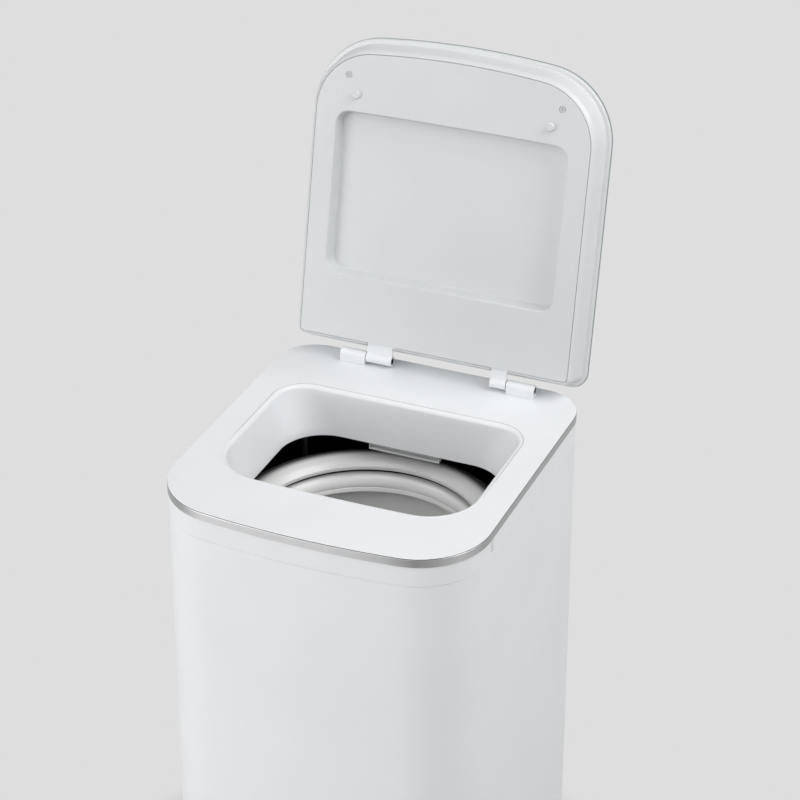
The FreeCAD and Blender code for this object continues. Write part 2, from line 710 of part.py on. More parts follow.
def hinge_base(start, length):
    """Knuckle on a block that stands on the deck."""
    knuckle = across(KNUCKLE_RADIUS, start, length, HINGE_Y, HINGE_Z)
    foot_block = block(start, start + length, HINGE_Y - KNUCKLE_RADIUS, HINGE_Y + KNUCKLE_RADIUS,
                       DECK_HEIGHT, HINGE_Z)
    bore = across(PIN_RADIUS + FIT_CLEARANCE, start, length, HINGE_Y, HINGE_Z)
    return knuckle.fuse(foot_block).cut(bore).removeSplitter()


def lid_arm(start, length):
    """The lid's knuckle, with a tongue that lies on the inner panel."""
    knuckle = across(KNUCKLE_RADIUS, start, length, HINGE_Y, HINGE_Z)
    tongue = in_lid(start, start + length, 0, ARM_REACH, PANEL_TOP, PANEL_TOP + ARM_THICKNESS)
    bore = across(PIN_RADIUS + FIT_CLEARANCE, start, length, HINGE_Y, HINGE_Z)
    return opened(knuckle.fuse(tongue).cut(bore))


def lid_arm_spans():
    """Start and length of the lid's two knuckles along X."""
    left = LEFT_BASE_START + LEFT_BASE_LENGTH + KNUCKLE_GAP
    return {"left": (left, LEFT_ARM_LENGTH), "right": (RIGHT_ARM_START, RIGHT_ARM_LENGTH)}


def hinge_base_spans():
    """Start and length of the two knuckles on the deck along X."""
    right = RIGHT_ARM_START + RIGHT_ARM_LENGTH + KNUCKLE_GAP
    return {"left": (LEFT_BASE_START, LEFT_BASE_LENGTH), "right": (right, RIGHT_BASE_LENGTH)}


def hinge_pin(side):
    """Pin through both knuckles of one hinge."""
    spans = (hinge_base_spans()[side], lid_arm_spans()[side])
    start = min(begin for begin, length in spans)
    end = max(begin + length for begin, length in spans)
    return across(PIN_RADIUS, start, end - start, HINGE_Y, HINGE_Z)


def lid_glass():
    """Flat glass cover of the lid."""
    return opened(slab(lid_outline, 0, GLASS_BOTTOM, GLASS_BOTTOM + GLASS_THICKNESS))


def lid_bezel():
    """Frame under the glass: a bead, a step and a wall that leans in to a rounded lower edge."""
    bead_bottom = GLASS_BOTTOM - BEAD_HEIGHT
    step_inset = BEAD_INSET + BEZEL_STEP
    outer = stack([lid_outline(BEAD_INSET, GLASS_BOTTOM), lid_outline(BEAD_INSET, bead_bottom),
                   lid_outline(step_inset, bead_bottom - BEZEL_STEP_HEIGHT),
                   lid_outline(BEZEL_KNEE, LID_BOTTOM + BEZEL_KNEE_HEIGHT),
                   lid_outline(BEZEL_TOE, LID_BOTTOM + BEZEL_TOE_HEIGHT),
                   lid_outline(PANEL_INSET, LID_BOTTOM)])
    inner = stack([lid_outline(BEAD_INSET + BEZEL_FLANGE, GLASS_BOTTOM),
                   lid_outline(step_inset + BEZEL_WALL, bead_bottom - BEZEL_STEP_HEIGHT - BEZEL_WALL),
                   lid_outline(BEZEL_KNEE + BEZEL_WALL, LID_BOTTOM + BEZEL_KNEE_HEIGHT),
                   lid_outline(PANEL_INSET, LID_BOTTOM + BEZEL_WALL),
                   lid_outline(PANEL_INSET, LID_BOTTOM)])
    bezel = outer.cut(inner)
    for start, length in lid_arm_spans().values():
        notch = in_lid(start - NOTCH_CLEARANCE, start + length + NOTCH_CLEARANCE, LID_BACK, ARM_REACH,
                       LID_BOTTOM, PANEL_TOP + ARM_THICKNESS + NOTCH_CLEARANCE)
        bezel = bezel.cut(notch)
    return opened(bezel)


def lid_inner_panel():
    """Flat inner face of the lid, with a sunk field in its middle and two screw bosses."""
    inset = PANEL_INSET + PANEL_GAP
    panel = slab(lid_outline, inset, LID_BOTTOM, PANEL_TOP)
    floor = LID_BOTTOM + WINDOW_DEPTH
    panel = panel.fuse(stack([window_outline(-WINDOW_WALL, LID_BOTTOM),
                              window_outline(WINDOW_DRAFT - WINDOW_WALL, floor + WINDOW_WALL)]))
    panel = panel.cut(stack([window_outline(-WINDOW_ROUND, LID_BOTTOM),
                             window_outline(-WINDOW_ROUND * 0.3, LID_BOTTOM + WINDOW_ROUND * 0.3),
                             window_outline(0, LID_BOTTOM + WINDOW_ROUND),
                             window_outline(WINDOW_DRAFT, floor)]))
    for x in (-LID_SCREW_X, LID_SCREW_X):
        boss_top = PANEL_TOP + LID_BOSS_HEIGHT
        panel = panel.fuse(lid_disc(LID_BOSS_RADIUS, x, LID_SCREW_REACH, PANEL_TOP, boss_top))
        panel = panel.cut(lid_disc(LID_SCREW_RADIUS + FIT_CLEARANCE, x, LID_SCREW_REACH,
                                   LID_BOTTOM, boss_top))
        panel = panel.cut(lid_disc(LID_SCREW_HEAD_RADIUS + LAP_CLEARANCE, x, LID_SCREW_REACH,
                                   LID_BOTTOM, LID_BOTTOM + LID_SCREW_HEAD))
    return opened(panel)


def lid_screws():
    """Sunk screws at the front corners of the inner panel."""
    screws = []
    for x in (-LID_SCREW_X, LID_SCREW_X):
        head = lid_disc(LID_SCREW_HEAD_RADIUS, x, LID_SCREW_REACH, LID_BOTTOM, LID_BOTTOM + LID_SCREW_HEAD)
        shank = lid_disc(LID_SCREW_RADIUS, x, LID_SCREW_REACH, LID_BOTTOM, PANEL_TOP + LID_BOSS_HEIGHT)
        screws.append(opened(head.fuse(shank)))
    return Part.makeCompound(screws)


def lid_bumpers():
    """Soft pads that the closed lid rests on."""
    bottom = LID_BOTTOM - LID_GAP + BUMPER_CLEARANCE
    return Part.makeCompound([opened(lid_disc(BUMPER_RADIUS, x, BUMPER_REACH, bottom, LID_BOTTOM))
                              for x in (-BUMPER_X, BUMPER_X)])


def lid_magnet():
    """Magnet on the inner panel, above the lid switch when the lid is closed."""
    return opened(in_lid(MAGNET_X - MAGNET_LENGTH / 2, MAGNET_X + MAGNET_LENGTH / 2,
                         MAGNET_REACH - MAGNET_WIDTH / 2, MAGNET_REACH + MAGNET_WIDTH / 2,
                         PANEL_TOP, PANEL_TOP + MAGNET_HEIGHT))


def lid_switch():
    """Reed switch under the deck."""
    y = HINGE_Y - MAGNET_REACH
    under = DECK_HEIGHT - DECK_WALL
    return block(MAGNET_X - SWITCH_LENGTH / 2, MAGNET_X + SWITCH_LENGTH / 2,
                 y - SWITCH_WIDTH / 2, y + SWITCH_WIDTH / 2, under - SWITCH_HEIGHT, under)


def control_box(margin, bottom, top):
    """Box of the control tray's plan, moved in by margin."""
    return block(CONTROL_X - CONTROL_WIDTH / 2 + margin, CONTROL_X + CONTROL_WIDTH / 2 - margin,
                 CONTROL_FRONT + margin, CONTROL_FRONT + CONTROL_DEPTH - margin, bottom, top)


def board_posts(radius, bottom, top):
    """Upright cylinders at the board's four corners."""
    half_x = CONTROL_WIDTH / 2 - BOARD_MARGIN - BOARD_POST_RADIUS
    half_y = CONTROL_DEPTH / 2 - BOARD_MARGIN - BOARD_POST_RADIUS
    middle_y = CONTROL_FRONT + CONTROL_DEPTH / 2
    return [rod(radius, bottom, top, CONTROL_X + side_x * half_x, middle_y + side_y * half_y)
            for side_x, side_y in ROD_CORNERS.values()]


def control_housing():
    """Tray that hangs under the front of the deck and holds the control board."""
    top = DECK_HEIGHT - DECK_WALL
    bottom = top - CONTROL_HEIGHT
    tray = control_box(0, bottom, top).cut(control_box(CONTROL_WALL, bottom + CONTROL_WALL, top))
    floor = bottom + CONTROL_WALL
    return tray.fuse(board_posts(BOARD_POST_RADIUS, floor, floor + BOARD_STANDOFF))


def control_board():
    """Circuit board on the tray's posts."""
    bottom = DECK_HEIGHT - DECK_WALL - CONTROL_HEIGHT + CONTROL_WALL + BOARD_STANDOFF
    return control_box(BOARD_MARGIN, bottom, bottom + BOARD_THICKNESS)


def inlet_valve():
    """Water valve inside the collar's back wall, with its threaded spud outside."""
    face = BODY_BACK - LIP_INSET - LIP_WALL
    body = block(INLET_X - VALVE_WIDTH / 2, INLET_X + VALVE_WIDTH / 2, face - VALVE_DEPTH, face,
                 INLET_Z - VALVE_HEIGHT / 2, INLET_Z + VALVE_HEIGHT / 2)
    body = body.fuse(backwards(SPUD_NECK_RADIUS, face - VALVE_MARGIN, BODY_BACK, INLET_X, INLET_Z))
    body = body.fuse(backwards(SPUD_RADIUS, BODY_BACK, BODY_BACK + SPUD_LENGTH, INLET_X, INLET_Z))
    return body.cut(backwards(SPUD_BORE, face, BODY_BACK + SPUD_LENGTH, INLET_X, INLET_Z))


def inlet_spout():
    """Flat chute from the valve to the throat's back edge, open at its front end."""
    back = BODY_BACK - LIP_INSET - LIP_WALL - VALVE_DEPTH
    front = THROAT_BACK + FUNNEL_WALL + SPOUT_GAP
    top = DECK_HEIGHT - THROAT_DROP - FUNNEL_WALL

    def section(y, drop, margin):
        points = [(SPOUT_LEFT + margin, top - drop - SPOUT_HEIGHT + margin),
                  (SPOUT_RIGHT - margin, top - drop - SPOUT_HEIGHT + margin),
                  (SPOUT_RIGHT - margin, top - drop - margin), (SPOUT_LEFT + margin, top - drop - margin)]
        corners = [V(x, y, z) for x, z in points]
        return Part.makePolygon(corners + corners[:1])

    outside = stack([section(back, 0, 0), section(front, SPOUT_SLOPE, 0)])
    inside = stack([section(back - SPOUT_WALL, 0, SPOUT_WALL), section(front, SPOUT_SLOPE, SPOUT_WALL)])
    riser = block(INLET_X - VALVE_WIDTH / 4, INLET_X + VALVE_WIDTH / 4, back - SPOUT_HEIGHT, back,
                  top - SPOUT_WALL, INLET_Z)
    return outside.cut(inside).fuse(riser)


def suspension_rod(side_x, side_y):
    """Rod that hangs from the collar's shelf by its round head, down into the damper cup."""
    end = LUG_BOTTOM - CUP_HEIGHT + CUP_FLOOR + CUP_SPARE
    hanger = turned((0, end), (ROD_RADIUS, end), (ROD_RADIUS, SHELF_TOP), (ROD_HEAD_RADIUS, SHELF_TOP),
                    (ROD_HEAD_RADIUS, SHELF_TOP + ROD_HEAD / 2), (ROD_RADIUS, SHELF_TOP + ROD_HEAD),
                    (0, SHELF_TOP + ROD_HEAD))
    return hanger.translated(V(side_x * ROD_OFFSET, side_y * ROD_OFFSET, 0))


def damper_cup(side_x, side_y):
    """Closed spring cup under a lug of the tub. The rod slides in its bore."""
    bottom = LUG_BOTTOM - CUP_HEIGHT
    bore = ROD_RADIUS + FIT_CLEARANCE
    cup = turned((0, bottom), (CUP_RADIUS - CUP_TAPER, bottom), (CUP_RADIUS, bottom + CUP_TAPER_HEIGHT),
                 (CUP_RADIUS, LUG_BOTTOM), (bore, LUG_BOTTOM), (bore, bottom + CUP_FLOOR),
                 (0, bottom + CUP_FLOOR))
    return cup.translated(V(side_x * ROD_OFFSET, side_y * ROD_OFFSET, 0))


def outer_tub():
    """Water tub: ribbed floor, stiffening bands, four suspension lugs and the sump outlet."""
    inside = TUB_RADIUS - TUB_WALL
    hole = SPIN_TUBE_RADIUS + LUG_HOLE_CLEARANCE
    tub = turned((hole, TUB_BOTTOM), (TUB_RADIUS, TUB_BOTTOM), (TUB_RADIUS, TUB_TOP), (inside, TUB_TOP),
                 (inside, TUB_BOTTOM + TUB_FLOOR), (hole, TUB_BOTTOM + TUB_FLOOR))
    rib = block(TUB_RIB_START, TUB_RIB_END, -TUB_RIB_THICKNESS / 2, TUB_RIB_THICKNESS / 2,
                PLATE_TOP, TUB_BOTTOM)
    reach = math.hypot(ROD_OFFSET, ROD_OFFSET)
    lug = block(inside, reach, -LUG_WIDTH / 2, LUG_WIDTH / 2, LUG_BOTTOM, LUG_BOTTOM + LUG_THICKNESS)
    lug = lug.fuse(rod(LUG_WIDTH / 2, LUG_BOTTOM, LUG_BOTTOM + LUG_THICKNESS, reach))
    lug = lug.cut(rod(ROD_RADIUS + LUG_HOLE_CLEARANCE, LUG_BOTTOM, LUG_BOTTOM + LUG_THICKNESS, reach))
    lug = lug.cut(rod(inside, LUG_BOTTOM, LUG_BOTTOM + LUG_THICKNESS))
    lug.rotate(V(0, 0, 0), V(0, 0, 1), 45)
    bands = [sleeve(TUB_RADIUS + TUB_BAND_PROUD, TUB_RADIUS - TUB_WALL / 2, level, level + TUB_BAND_HEIGHT)
             for level in TUB_BAND_LEVELS]
    outlet = rod(SUMP_RADIUS, TUB_BOTTOM - SUMP_LENGTH, TUB_BOTTOM, SUMP_X, SUMP_Y)
    tub = tub.fuse(around(rib, TUB_RIB_COUNT) + around(lug, len(ROD_CORNERS)) + bands + [outlet])
    drain = rod(SUMP_RADIUS - SUMP_WALL, TUB_BOTTOM - SUMP_LENGTH, TUB_BOTTOM + TUB_FLOOR, SUMP_X, SUMP_Y)
    return tub.cut(drain).removeSplitter()


def tub_ring():
    """Domed splash ring on the tub's rim, with a skirt outside it and a turned-down inner lip."""
    outer = TUB_RADIUS + LAP_CLEARANCE + RING_WALL
    crest = TUB_TOP + RING_CREST
    inner_z = TUB_TOP + RING_INNER_RISE
    middle = (outer + RING_INNER_RADIUS) / 2
    inside = TUB_RADIUS + LAP_CLEARANCE
    skirt_end = TUB_TOP - RING_SKIRT
    return turned((inside, skirt_end), (outer, skirt_end), (outer, TUB_TOP + RING_SHOULDER),
                  (middle, crest, RING_INNER_RADIUS, inner_z), (RING_INNER_RADIUS, inner_z - RING_LIP),
                  (RING_INNER_RADIUS + RING_WALL, inner_z - RING_LIP),
                  (RING_INNER_RADIUS + RING_WALL, inner_z - RING_WALL / 2), (middle, crest - RING_WALL),
                  (TUB_RADIUS - TUB_WALL, TUB_TOP), (inside, TUB_TOP))


def tub_seal():
    """Lip seal on the tub's floor, round the spin tube."""
    floor = TUB_BOTTOM + TUB_FLOOR
    return sleeve(SEAL_RADIUS, SPIN_TUBE_RADIUS + FIT_CLEARANCE, floor, floor + SEAL_HEIGHT)


def support_plate():
    """Steel plate under the tub's ribs that carries the clutch and the motor."""
    def plan(inset, z):
        front = MOTOR_Y - MOTOR_FLANGE_RADIUS - PLATE_MARGIN
        return closed_outline(PLATE_HALF - inset, front + inset, PLATE_BACK - inset, PLATE_RADIUS - inset,
                              PLATE_RADIUS - inset, FRONT_BOW_RADIUS - inset, z)

    plate = slab(plan, 0, PLATE_BOTTOM, PLATE_TOP)
    plate = plate.cut(rod(CLUTCH_BOSS_RADIUS + LAP_CLEARANCE, PLATE_BOTTOM, PLATE_TOP))
    return plate.cut(rod(SUMP_RADIUS + LUG_HOLE_CLEARANCE, PLATE_BOTTOM, PLATE_TOP, SUMP_X, SUMP_Y))


def clutch_housing():
    """Clutch and bearing housing under the support plate."""
    bore = SPIN_TUBE_RADIUS + FIT_CLEARANCE
    flange = PLATE_BOTTOM - CLUTCH_FLANGE
    neck = CLUTCH_BOTTOM - CLUTCH_NECK
    return turned((bore, neck), (CLUTCH_NECK_RADIUS, neck), (CLUTCH_NECK_RADIUS, CLUTCH_BOTTOM),
                  (CLUTCH_RADIUS, CLUTCH_BOTTOM), (CLUTCH_RADIUS, flange), (CLUTCH_FLANGE_RADIUS, flange),
                  (CLUTCH_FLANGE_RADIUS, PLATE_BOTTOM), (CLUTCH_BOSS_RADIUS, PLATE_BOTTOM),
                  (CLUTCH_BOSS_RADIUS, TUB_BOTTOM), (bore, TUB_BOTTOM))


def spin_tube():
    """Hollow shaft that turns the drum, with the wash shaft inside it."""
    bore = SHAFT_RADIUS + FIT_CLEARANCE
    bottom = CLUTCH_BOTTOM - CLUTCH_NECK
    return turned((bore, bottom), (SPIN_TUBE_RADIUS, bottom), (SPIN_TUBE_RADIUS, DRUM_BOTTOM - SPIN_FLANGE),
                  (SPIN_FLANGE_RADIUS, DRUM_BOTTOM - SPIN_FLANGE), (SPIN_FLANGE_RADIUS, DRUM_BOTTOM),
                  (bore, DRUM_BOTTOM))


def wash_shaft():
    """Shaft from the drive pulley up to the pulsator."""
    return rod(SHAFT_RADIUS, SHAFT_BOTTOM, PULSATOR_TOP)


def grooved_pulley(radius, bore, hub):
    """Belt pulley with a flat groove, centred on the Z axis."""
    top = PULLEY_BOTTOM + PULLEY_HEIGHT
    low = BELT_MIDDLE - GROOVE_WIDTH / 2
    high = BELT_MIDDLE + GROOVE_WIDTH / 2
    floor = radius - GROOVE_DEPTH
    return turned((bore, PULLEY_BOTTOM), (radius, PULLEY_BOTTOM), (radius, low), (floor, low), (floor, high),
                  (radius, high), (radius, top), (hub, top), (bore, top))


def drive_pulley():
    """Large pulley, dished and pierced between its hub and rim."""
    wheel = grooved_pulley(PULLEY_RADIUS, SHAFT_RADIUS, PULLEY_HUB_RADIUS)
    rim = PULLEY_RADIUS - GROOVE_DEPTH - PULLEY_WEB
    web = PULLEY_BOTTOM + PULLEY_WEB
    wheel = wheel.cut(sleeve(rim, PULLEY_HUB_RADIUS, web, PULLEY_BOTTOM + PULLEY_HEIGHT))
    window = rod(PULLEY_WINDOW_RADIUS, PULLEY_BOTTOM, web, PULLEY_WINDOW_CIRCLE)
    return wheel.cut(around(window, PULLEY_WINDOW_COUNT))


def pulley_nut():
    """Hexagon nut under the drive pulley."""
    corners = [V(NUT_RADIUS * math.cos(math.pi * k / 3), NUT_RADIUS * math.sin(math.pi * k / 3),
                 PULLEY_BOTTOM - NUT_HEIGHT) for k in range(7)]
    return Part.Face(Part.makePolygon(corners)).extrude(V(0, 0, NUT_HEIGHT)).cut(
        rod(SHAFT_RADIUS, PULLEY_BOTTOM - NUT_HEIGHT, PULLEY_BOTTOM))


def motor_housing():
    """Motor under the support plate, beside the clutch."""
    bore = MOTOR_SHAFT_RADIUS + FIT_CLEARANCE
    flange = PLATE_BOTTOM - MOTOR_FLANGE
    end = MOTOR_BOTTOM + MOTOR_END
    body = turned((bore, MOTOR_BOTTOM), (MOTOR_END_RADIUS, MOTOR_BOTTOM), (MOTOR_RADIUS, end),
                  (MOTOR_RADIUS, flange), (MOTOR_FLANGE_RADIUS, flange), (MOTOR_FLANGE_RADIUS, PLATE_BOTTOM),
                  (bore, PLATE_BOTTOM))
    return body.translated(V(0, MOTOR_Y, 0))


def motor_shaft():
    """Motor shaft with the small pulley on its lower end."""
    return rod(MOTOR_SHAFT_RADIUS, SHAFT_BOTTOM, PLATE_BOTTOM, 0, MOTOR_Y)


def motor_pulley():
    """Small belt pulley."""
    wheel = grooved_pulley(MOTOR_PULLEY_RADIUS, MOTOR_SHAFT_RADIUS, MOTOR_SHAFT_RADIUS)
    return wheel.translated(V(0, MOTOR_Y, 0))


def belt_loop(grow):
    """Loop round both pulleys at the belt's lower edge, grown outwards by grow."""
    z = BELT_MIDDLE - BELT_WIDTH / 2
    large = PULLEY_RADIUS - GROOVE_DEPTH + BELT_CLEARANCE + grow
    small = MOTOR_PULLEY_RADIUS - GROOVE_DEPTH + BELT_CLEARANCE + grow
    lean = (large - small) / MOTOR_Y
    out = V(math.sqrt(1 - lean ** 2), lean, 0)
    mirrored = V(-out.x, out.y, 0)
    here = V(0, 0, z)
    there = V(0, MOTOR_Y, z)
    edges = [
        Part.Arc(here + out * large, here + V(0, large, 0), here + mirrored * large),
        Part.LineSegment(here + mirrored * large, there + mirrored * small),
        Part.Arc(there + mirrored * small, there - V(0, small, 0), there + out * small),
        Part.LineSegment(there + out * small, here + out * large),
    ]
    return Part.Wire([edge.toShape() for edge in edges])


def drive_belt():
    """Belt from the motor pulley to the drive pulley."""
    up = V(0, 0, BELT_WIDTH)
    return Part.Face(belt_loop(BELT_THICKNESS)).extrude(up).cut(Part.Face(belt_loop(0)).extrude(up))


def drum_wall():
    """Sheet steel wall of the drum."""
    return sleeve(DRUM_RADIUS, DRUM_RADIUS - DRUM_WALL, DRUM_BOTTOM + DRUM_FLOOR, DRUM_TOP)


def drum_base():
    """Drum floor on the spin tube's flange, dished towards its rim."""
    top = DRUM_BOTTOM + DRUM_FLOOR
    bore = SHAFT_RADIUS + LUG_HOLE_CLEARANCE
    return turned((bore, DRUM_BOTTOM), (SPIN_FLANGE_RADIUS, DRUM_BOTTOM), (DRUM_RADIUS, top - DRUM_FLOOR / 2),
                  (DRUM_RADIUS, top), (bore, top))


def balance_ring():
    """Ring on the drum's top edge: a skirt outside the wall, a short plug inside it, a domed inner lip."""
    lip = BALANCE_TOP - BALANCE_LIP_DROP
    skirt = DRUM_RADIUS + LAP_CLEARANCE
    plug = DRUM_RADIUS - DRUM_WALL - LAP_CLEARANCE
    skirt_end = DRUM_TOP - BALANCE_DEPTH
    bulge_r = (BALANCE_SHOULDER + BALANCE_LIP_RADIUS) / 2 - BALANCE_LIP_HEIGHT / 2
    bulge_z = (BALANCE_TOP + lip) / 2 + BALANCE_LIP_HEIGHT / 2
    return turned((BALANCE_LIP_RADIUS, lip), (bulge_r, bulge_z, BALANCE_SHOULDER, BALANCE_TOP),
                  (BALANCE_RADIUS - BALANCE_LIP_HEIGHT, BALANCE_TOP),
                  (BALANCE_RADIUS, BALANCE_TOP - BALANCE_LIP_HEIGHT), (BALANCE_RADIUS, skirt_end),
                  (skirt, skirt_end), (skirt, DRUM_TOP), (plug, DRUM_TOP), (plug, DRUM_TOP - BALANCE_PLUG),
                  (BALANCE_LIP_RADIUS, lip - BALANCE_LIP_HEIGHT))


def vane():
    """One ridge of the pulsator, tapering from a broad foot to a narrow crest."""
    def section(r, height):
        low = PULSATOR_BOTTOM + PULSATOR_RIM / 2
        corners = [V(r, -VANE_BASE / 2, low), V(r, VANE_BASE / 2, low), V(r, VANE_TIP / 2, low + height),
                   V(r, -VANE_TIP / 2, low + height)]
        return Part.makePolygon(corners + corners[:1])

    return stack([section(VANE_START, VANE_HEIGHT + PULSATOR_RIM), section(VANE_END, VANE_HEIGHT)])


def pulsator():
    """Wash plate at the drum's floor: a bell-shaped disc with radial ridges."""
    rim = PULSATOR_BOTTOM + PULSATOR_RIM
    shoulder = PULSATOR_BOTTOM + PULSATOR_CROWN / 2
    disc = turned((SHAFT_RADIUS, PULSATOR_BOTTOM), (PULSATOR_RADIUS, PULSATOR_BOTTOM), (PULSATOR_RADIUS, rim),
                  (2 * PULSATOR_HUB_RADIUS, (rim + shoulder) / 2, PULSATOR_HUB_RADIUS, shoulder),
                  (CAP_RADIUS, PULSATOR_TOP), (SHAFT_RADIUS, PULSATOR_TOP))
    ridges = around(vane().cut(rod(SHAFT_RADIUS, PULSATOR_BOTTOM, PULSATOR_TOP)), VANE_COUNT)
    return disc.fuse(ridges).removeSplitter()


def pulsator_cap():
    """Domed screw cap on the pulsator's crown."""
    sphere = (CAP_RADIUS ** 2 + CAP_RISE ** 2) / (2 * CAP_RISE)
    centre = PULSATOR_TOP + CAP_RISE - sphere
    half_turn = math.asin(CAP_RADIUS / sphere) / 2
    return turned((0, PULSATOR_TOP), (CAP_RADIUS, PULSATOR_TOP),
                  (sphere * math.sin(half_turn), centre + sphere * math.cos(half_turn),
                   0, PULSATOR_TOP + CAP_RISE))


def drain_pump():
    """Drain pump on the tray's floor: volute below, motor above."""
    floor = FOOT_HEIGHT + TRAY_FLOOR
    top = floor + PUMP_HEIGHT
    body = turned((0, floor), (PUMP_RADIUS, floor), (PUMP_RADIUS, floor + PUMP_VOLUTE),
                  (PUMP_MOTOR_RADIUS, floor + PUMP_VOLUTE), (PUMP_MOTOR_RADIUS, top), (0, top))
    return body.translated(V(PUMP_X, PUMP_Y, 0))


def drain_spigot():
    """Hose spigot through the shell's back, with a flange outside it."""
    start = PUMP_Y + PUMP_MOTOR_RADIUS
    end = REAR_FACE + SPIGOT_FLANGE + SPIGOT_PROUD
    tube = backwards(SPIGOT_RADIUS, start, end, PUMP_X, SPIGOT_Z)
    tube = tube.fuse(backwards(SPIGOT_FLANGE_RADIUS, REAR_FACE, REAR_FACE + SPIGOT_FLANGE, PUMP_X, SPIGOT_Z))
    return tube.cut(backwards(SPIGOT_RADIUS - SPIGOT_WALL, start, end, PUMP_X, SPIGOT_Z))


def cord_gland():
    """Bush for the mains lead in the shell's back."""
    start = REAR_FACE - GLAND_LENGTH
    end = REAR_FACE + GLAND_FLANGE
    body = backwards(GLAND_FLANGE_RADIUS, REAR_FACE, end, GLAND_X, GLAND_Z)
    body = body.fuse(backwards(GLAND_RADIUS, start, REAR_FACE, GLAND_X, GLAND_Z))
    return body.cut(backwards(GLAND_BORE, start, end, GLAND_X, GLAND_Z))


def all_pieces():
    """Every piece by its node name."""
    pieces = {
        "cabinet_shell": cabinet_shell(),
        "rear_panel": rear_panel(),
        "rear_panel_screws": rear_panel_screws(),
        "base_tray": base_tray(),
        "top_collar": top_collar(),
        "trim_band": trim_band(),
        "deck": deck(),
        "screw_cap_left": screw_cap(-1),
        "screw_cap_right": screw_cap(1),
        "control_housing": control_housing(),
        "control_board": control_board(),
        "lid_switch": lid_switch(),
        "inlet_valve": inlet_valve(),
        "inlet_spout": inlet_spout(),
        "drain_pump": drain_pump(),
        "drain_spigot": drain_spigot(),
        "cord_gland": cord_gland(),
        "outer_tub": outer_tub(),
        "tub_ring": tub_ring(),
        "tub_seal": tub_seal(),
        "support_plate": support_plate(),
        "clutch_housing": clutch_housing(),
        "motor_housing": motor_housing(),
        "drive_belt": drive_belt(),
        "drum_wall": drum_wall(),
        "drum_base": drum_base(),
        "balance_ring": balance_ring(),
        "spin_tube": spin_tube(),
        "pulsator": pulsator(),
        "pulsator_cap": pulsator_cap(),
        "wash_shaft": wash_shaft(),
        "drive_pulley": drive_pulley(),
        "pulley_nut": pulley_nut(),
        "motor_shaft": motor_shaft(),
        "motor_pulley": motor_pulley(),
        "lid_glass": lid_glass(),
        "lid_bezel": lid_bezel(),
        "lid_inner_panel": lid_inner_panel(),
        "lid_screws": lid_screws(),
        "lid_bumpers": lid_bumpers(),
        "lid_magnet": lid_magnet(),
    }
    for name, (x, y) in foot_places().items():
        pieces["foot_" + name] = foot(x, y)
    for name, corner in ROD_CORNERS.items():
        pieces["suspension_rod_" + name] = suspension_rod(*corner)
        pieces["damper_cup_" + name] = damper_cup(*corner)
    for side in ("left", "right"):
        pieces["hinge_base_" + side] = hinge_base(*hinge_base_spans()[side])
        pieces["hinge_pin_" + side] = hinge_pin(side)
        pieces["lid_arm_" + side] = lid_arm(*lid_arm_spans()[side])
    return pieces


os.makedirs("parts", exist_ok=True)
for node, shape in all_pieces().items():
    state = "valid" if shape.isValid() else "NOT VALID"
    print(node, len(shape.Solids), state, round(shape.Volume / 1000, 2), "cm3")
    shape.exportStep("parts/" + node + ".step")
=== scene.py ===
"""Portable top-loading washing machine: surfaces, finishes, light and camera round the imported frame.

Metres. X to the right, Y to the back, Z up from the floor. The lid stands open at rest.
"""
import json
import math

import bmesh
import bpy
import numpy as np
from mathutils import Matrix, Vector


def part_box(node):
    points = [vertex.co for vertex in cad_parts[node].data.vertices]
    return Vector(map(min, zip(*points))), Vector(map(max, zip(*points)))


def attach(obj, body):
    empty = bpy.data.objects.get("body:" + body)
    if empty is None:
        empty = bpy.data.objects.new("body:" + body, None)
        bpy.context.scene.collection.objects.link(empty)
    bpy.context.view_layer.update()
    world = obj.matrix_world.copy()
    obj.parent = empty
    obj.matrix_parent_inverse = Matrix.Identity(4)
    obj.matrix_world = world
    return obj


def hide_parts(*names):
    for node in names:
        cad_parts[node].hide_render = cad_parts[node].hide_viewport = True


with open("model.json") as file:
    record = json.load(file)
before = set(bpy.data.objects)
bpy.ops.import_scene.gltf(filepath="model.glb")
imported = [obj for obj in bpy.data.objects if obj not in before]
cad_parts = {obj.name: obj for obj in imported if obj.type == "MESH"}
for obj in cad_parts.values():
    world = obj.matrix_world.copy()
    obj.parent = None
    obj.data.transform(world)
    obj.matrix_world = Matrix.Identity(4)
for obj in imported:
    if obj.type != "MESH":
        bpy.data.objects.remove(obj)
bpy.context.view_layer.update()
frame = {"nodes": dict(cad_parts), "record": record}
SLOTS = {subpart["node"]: subpart["material_slot"] for subpart in frame["record"]["subparts"]}
BODIES = {node: body for body, nodes in frame["record"]["behaviour"]["bodies"].items() for node in nodes}
LID_JOINT = next(j for j in frame["record"]["behaviour"]["joints"] if j["name"] == "lid_hinge")
HINGE_Y, HINGE_Z = LID_JOINT["pos_m"][1:]
LID_OPEN = math.radians(LID_JOINT["range_deg"][1])

# Low and high corners of nodes in the frame
(_, BODY_FRONT, TRIM_BOTTOM), (BODY_HALF, BODY_BACK, TRIM_TOP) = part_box("trim_band")
(_, _, THROAT_END), (_, _, DECK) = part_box("deck")
(_, _, SHELL_BOTTOM), (_, _, SEAM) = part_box("cabinet_shell")
(_, _, SHELF_BOTTOM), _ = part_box("top_collar")
(_, _, RING_END), (RING_OUTER, _, RING_CREST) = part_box("tub_ring")
(_, _, RIM_END), (RIM_OUTER, _, RIM_TOP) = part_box("balance_ring")
(_, _, DRUM_BOTTOM), (DRUM_OUTER, _, DRUM_TOP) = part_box("drum_wall")
(_, _, PLATE_BOTTOM), (_, _, PLATE_TOP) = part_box("pulsator")

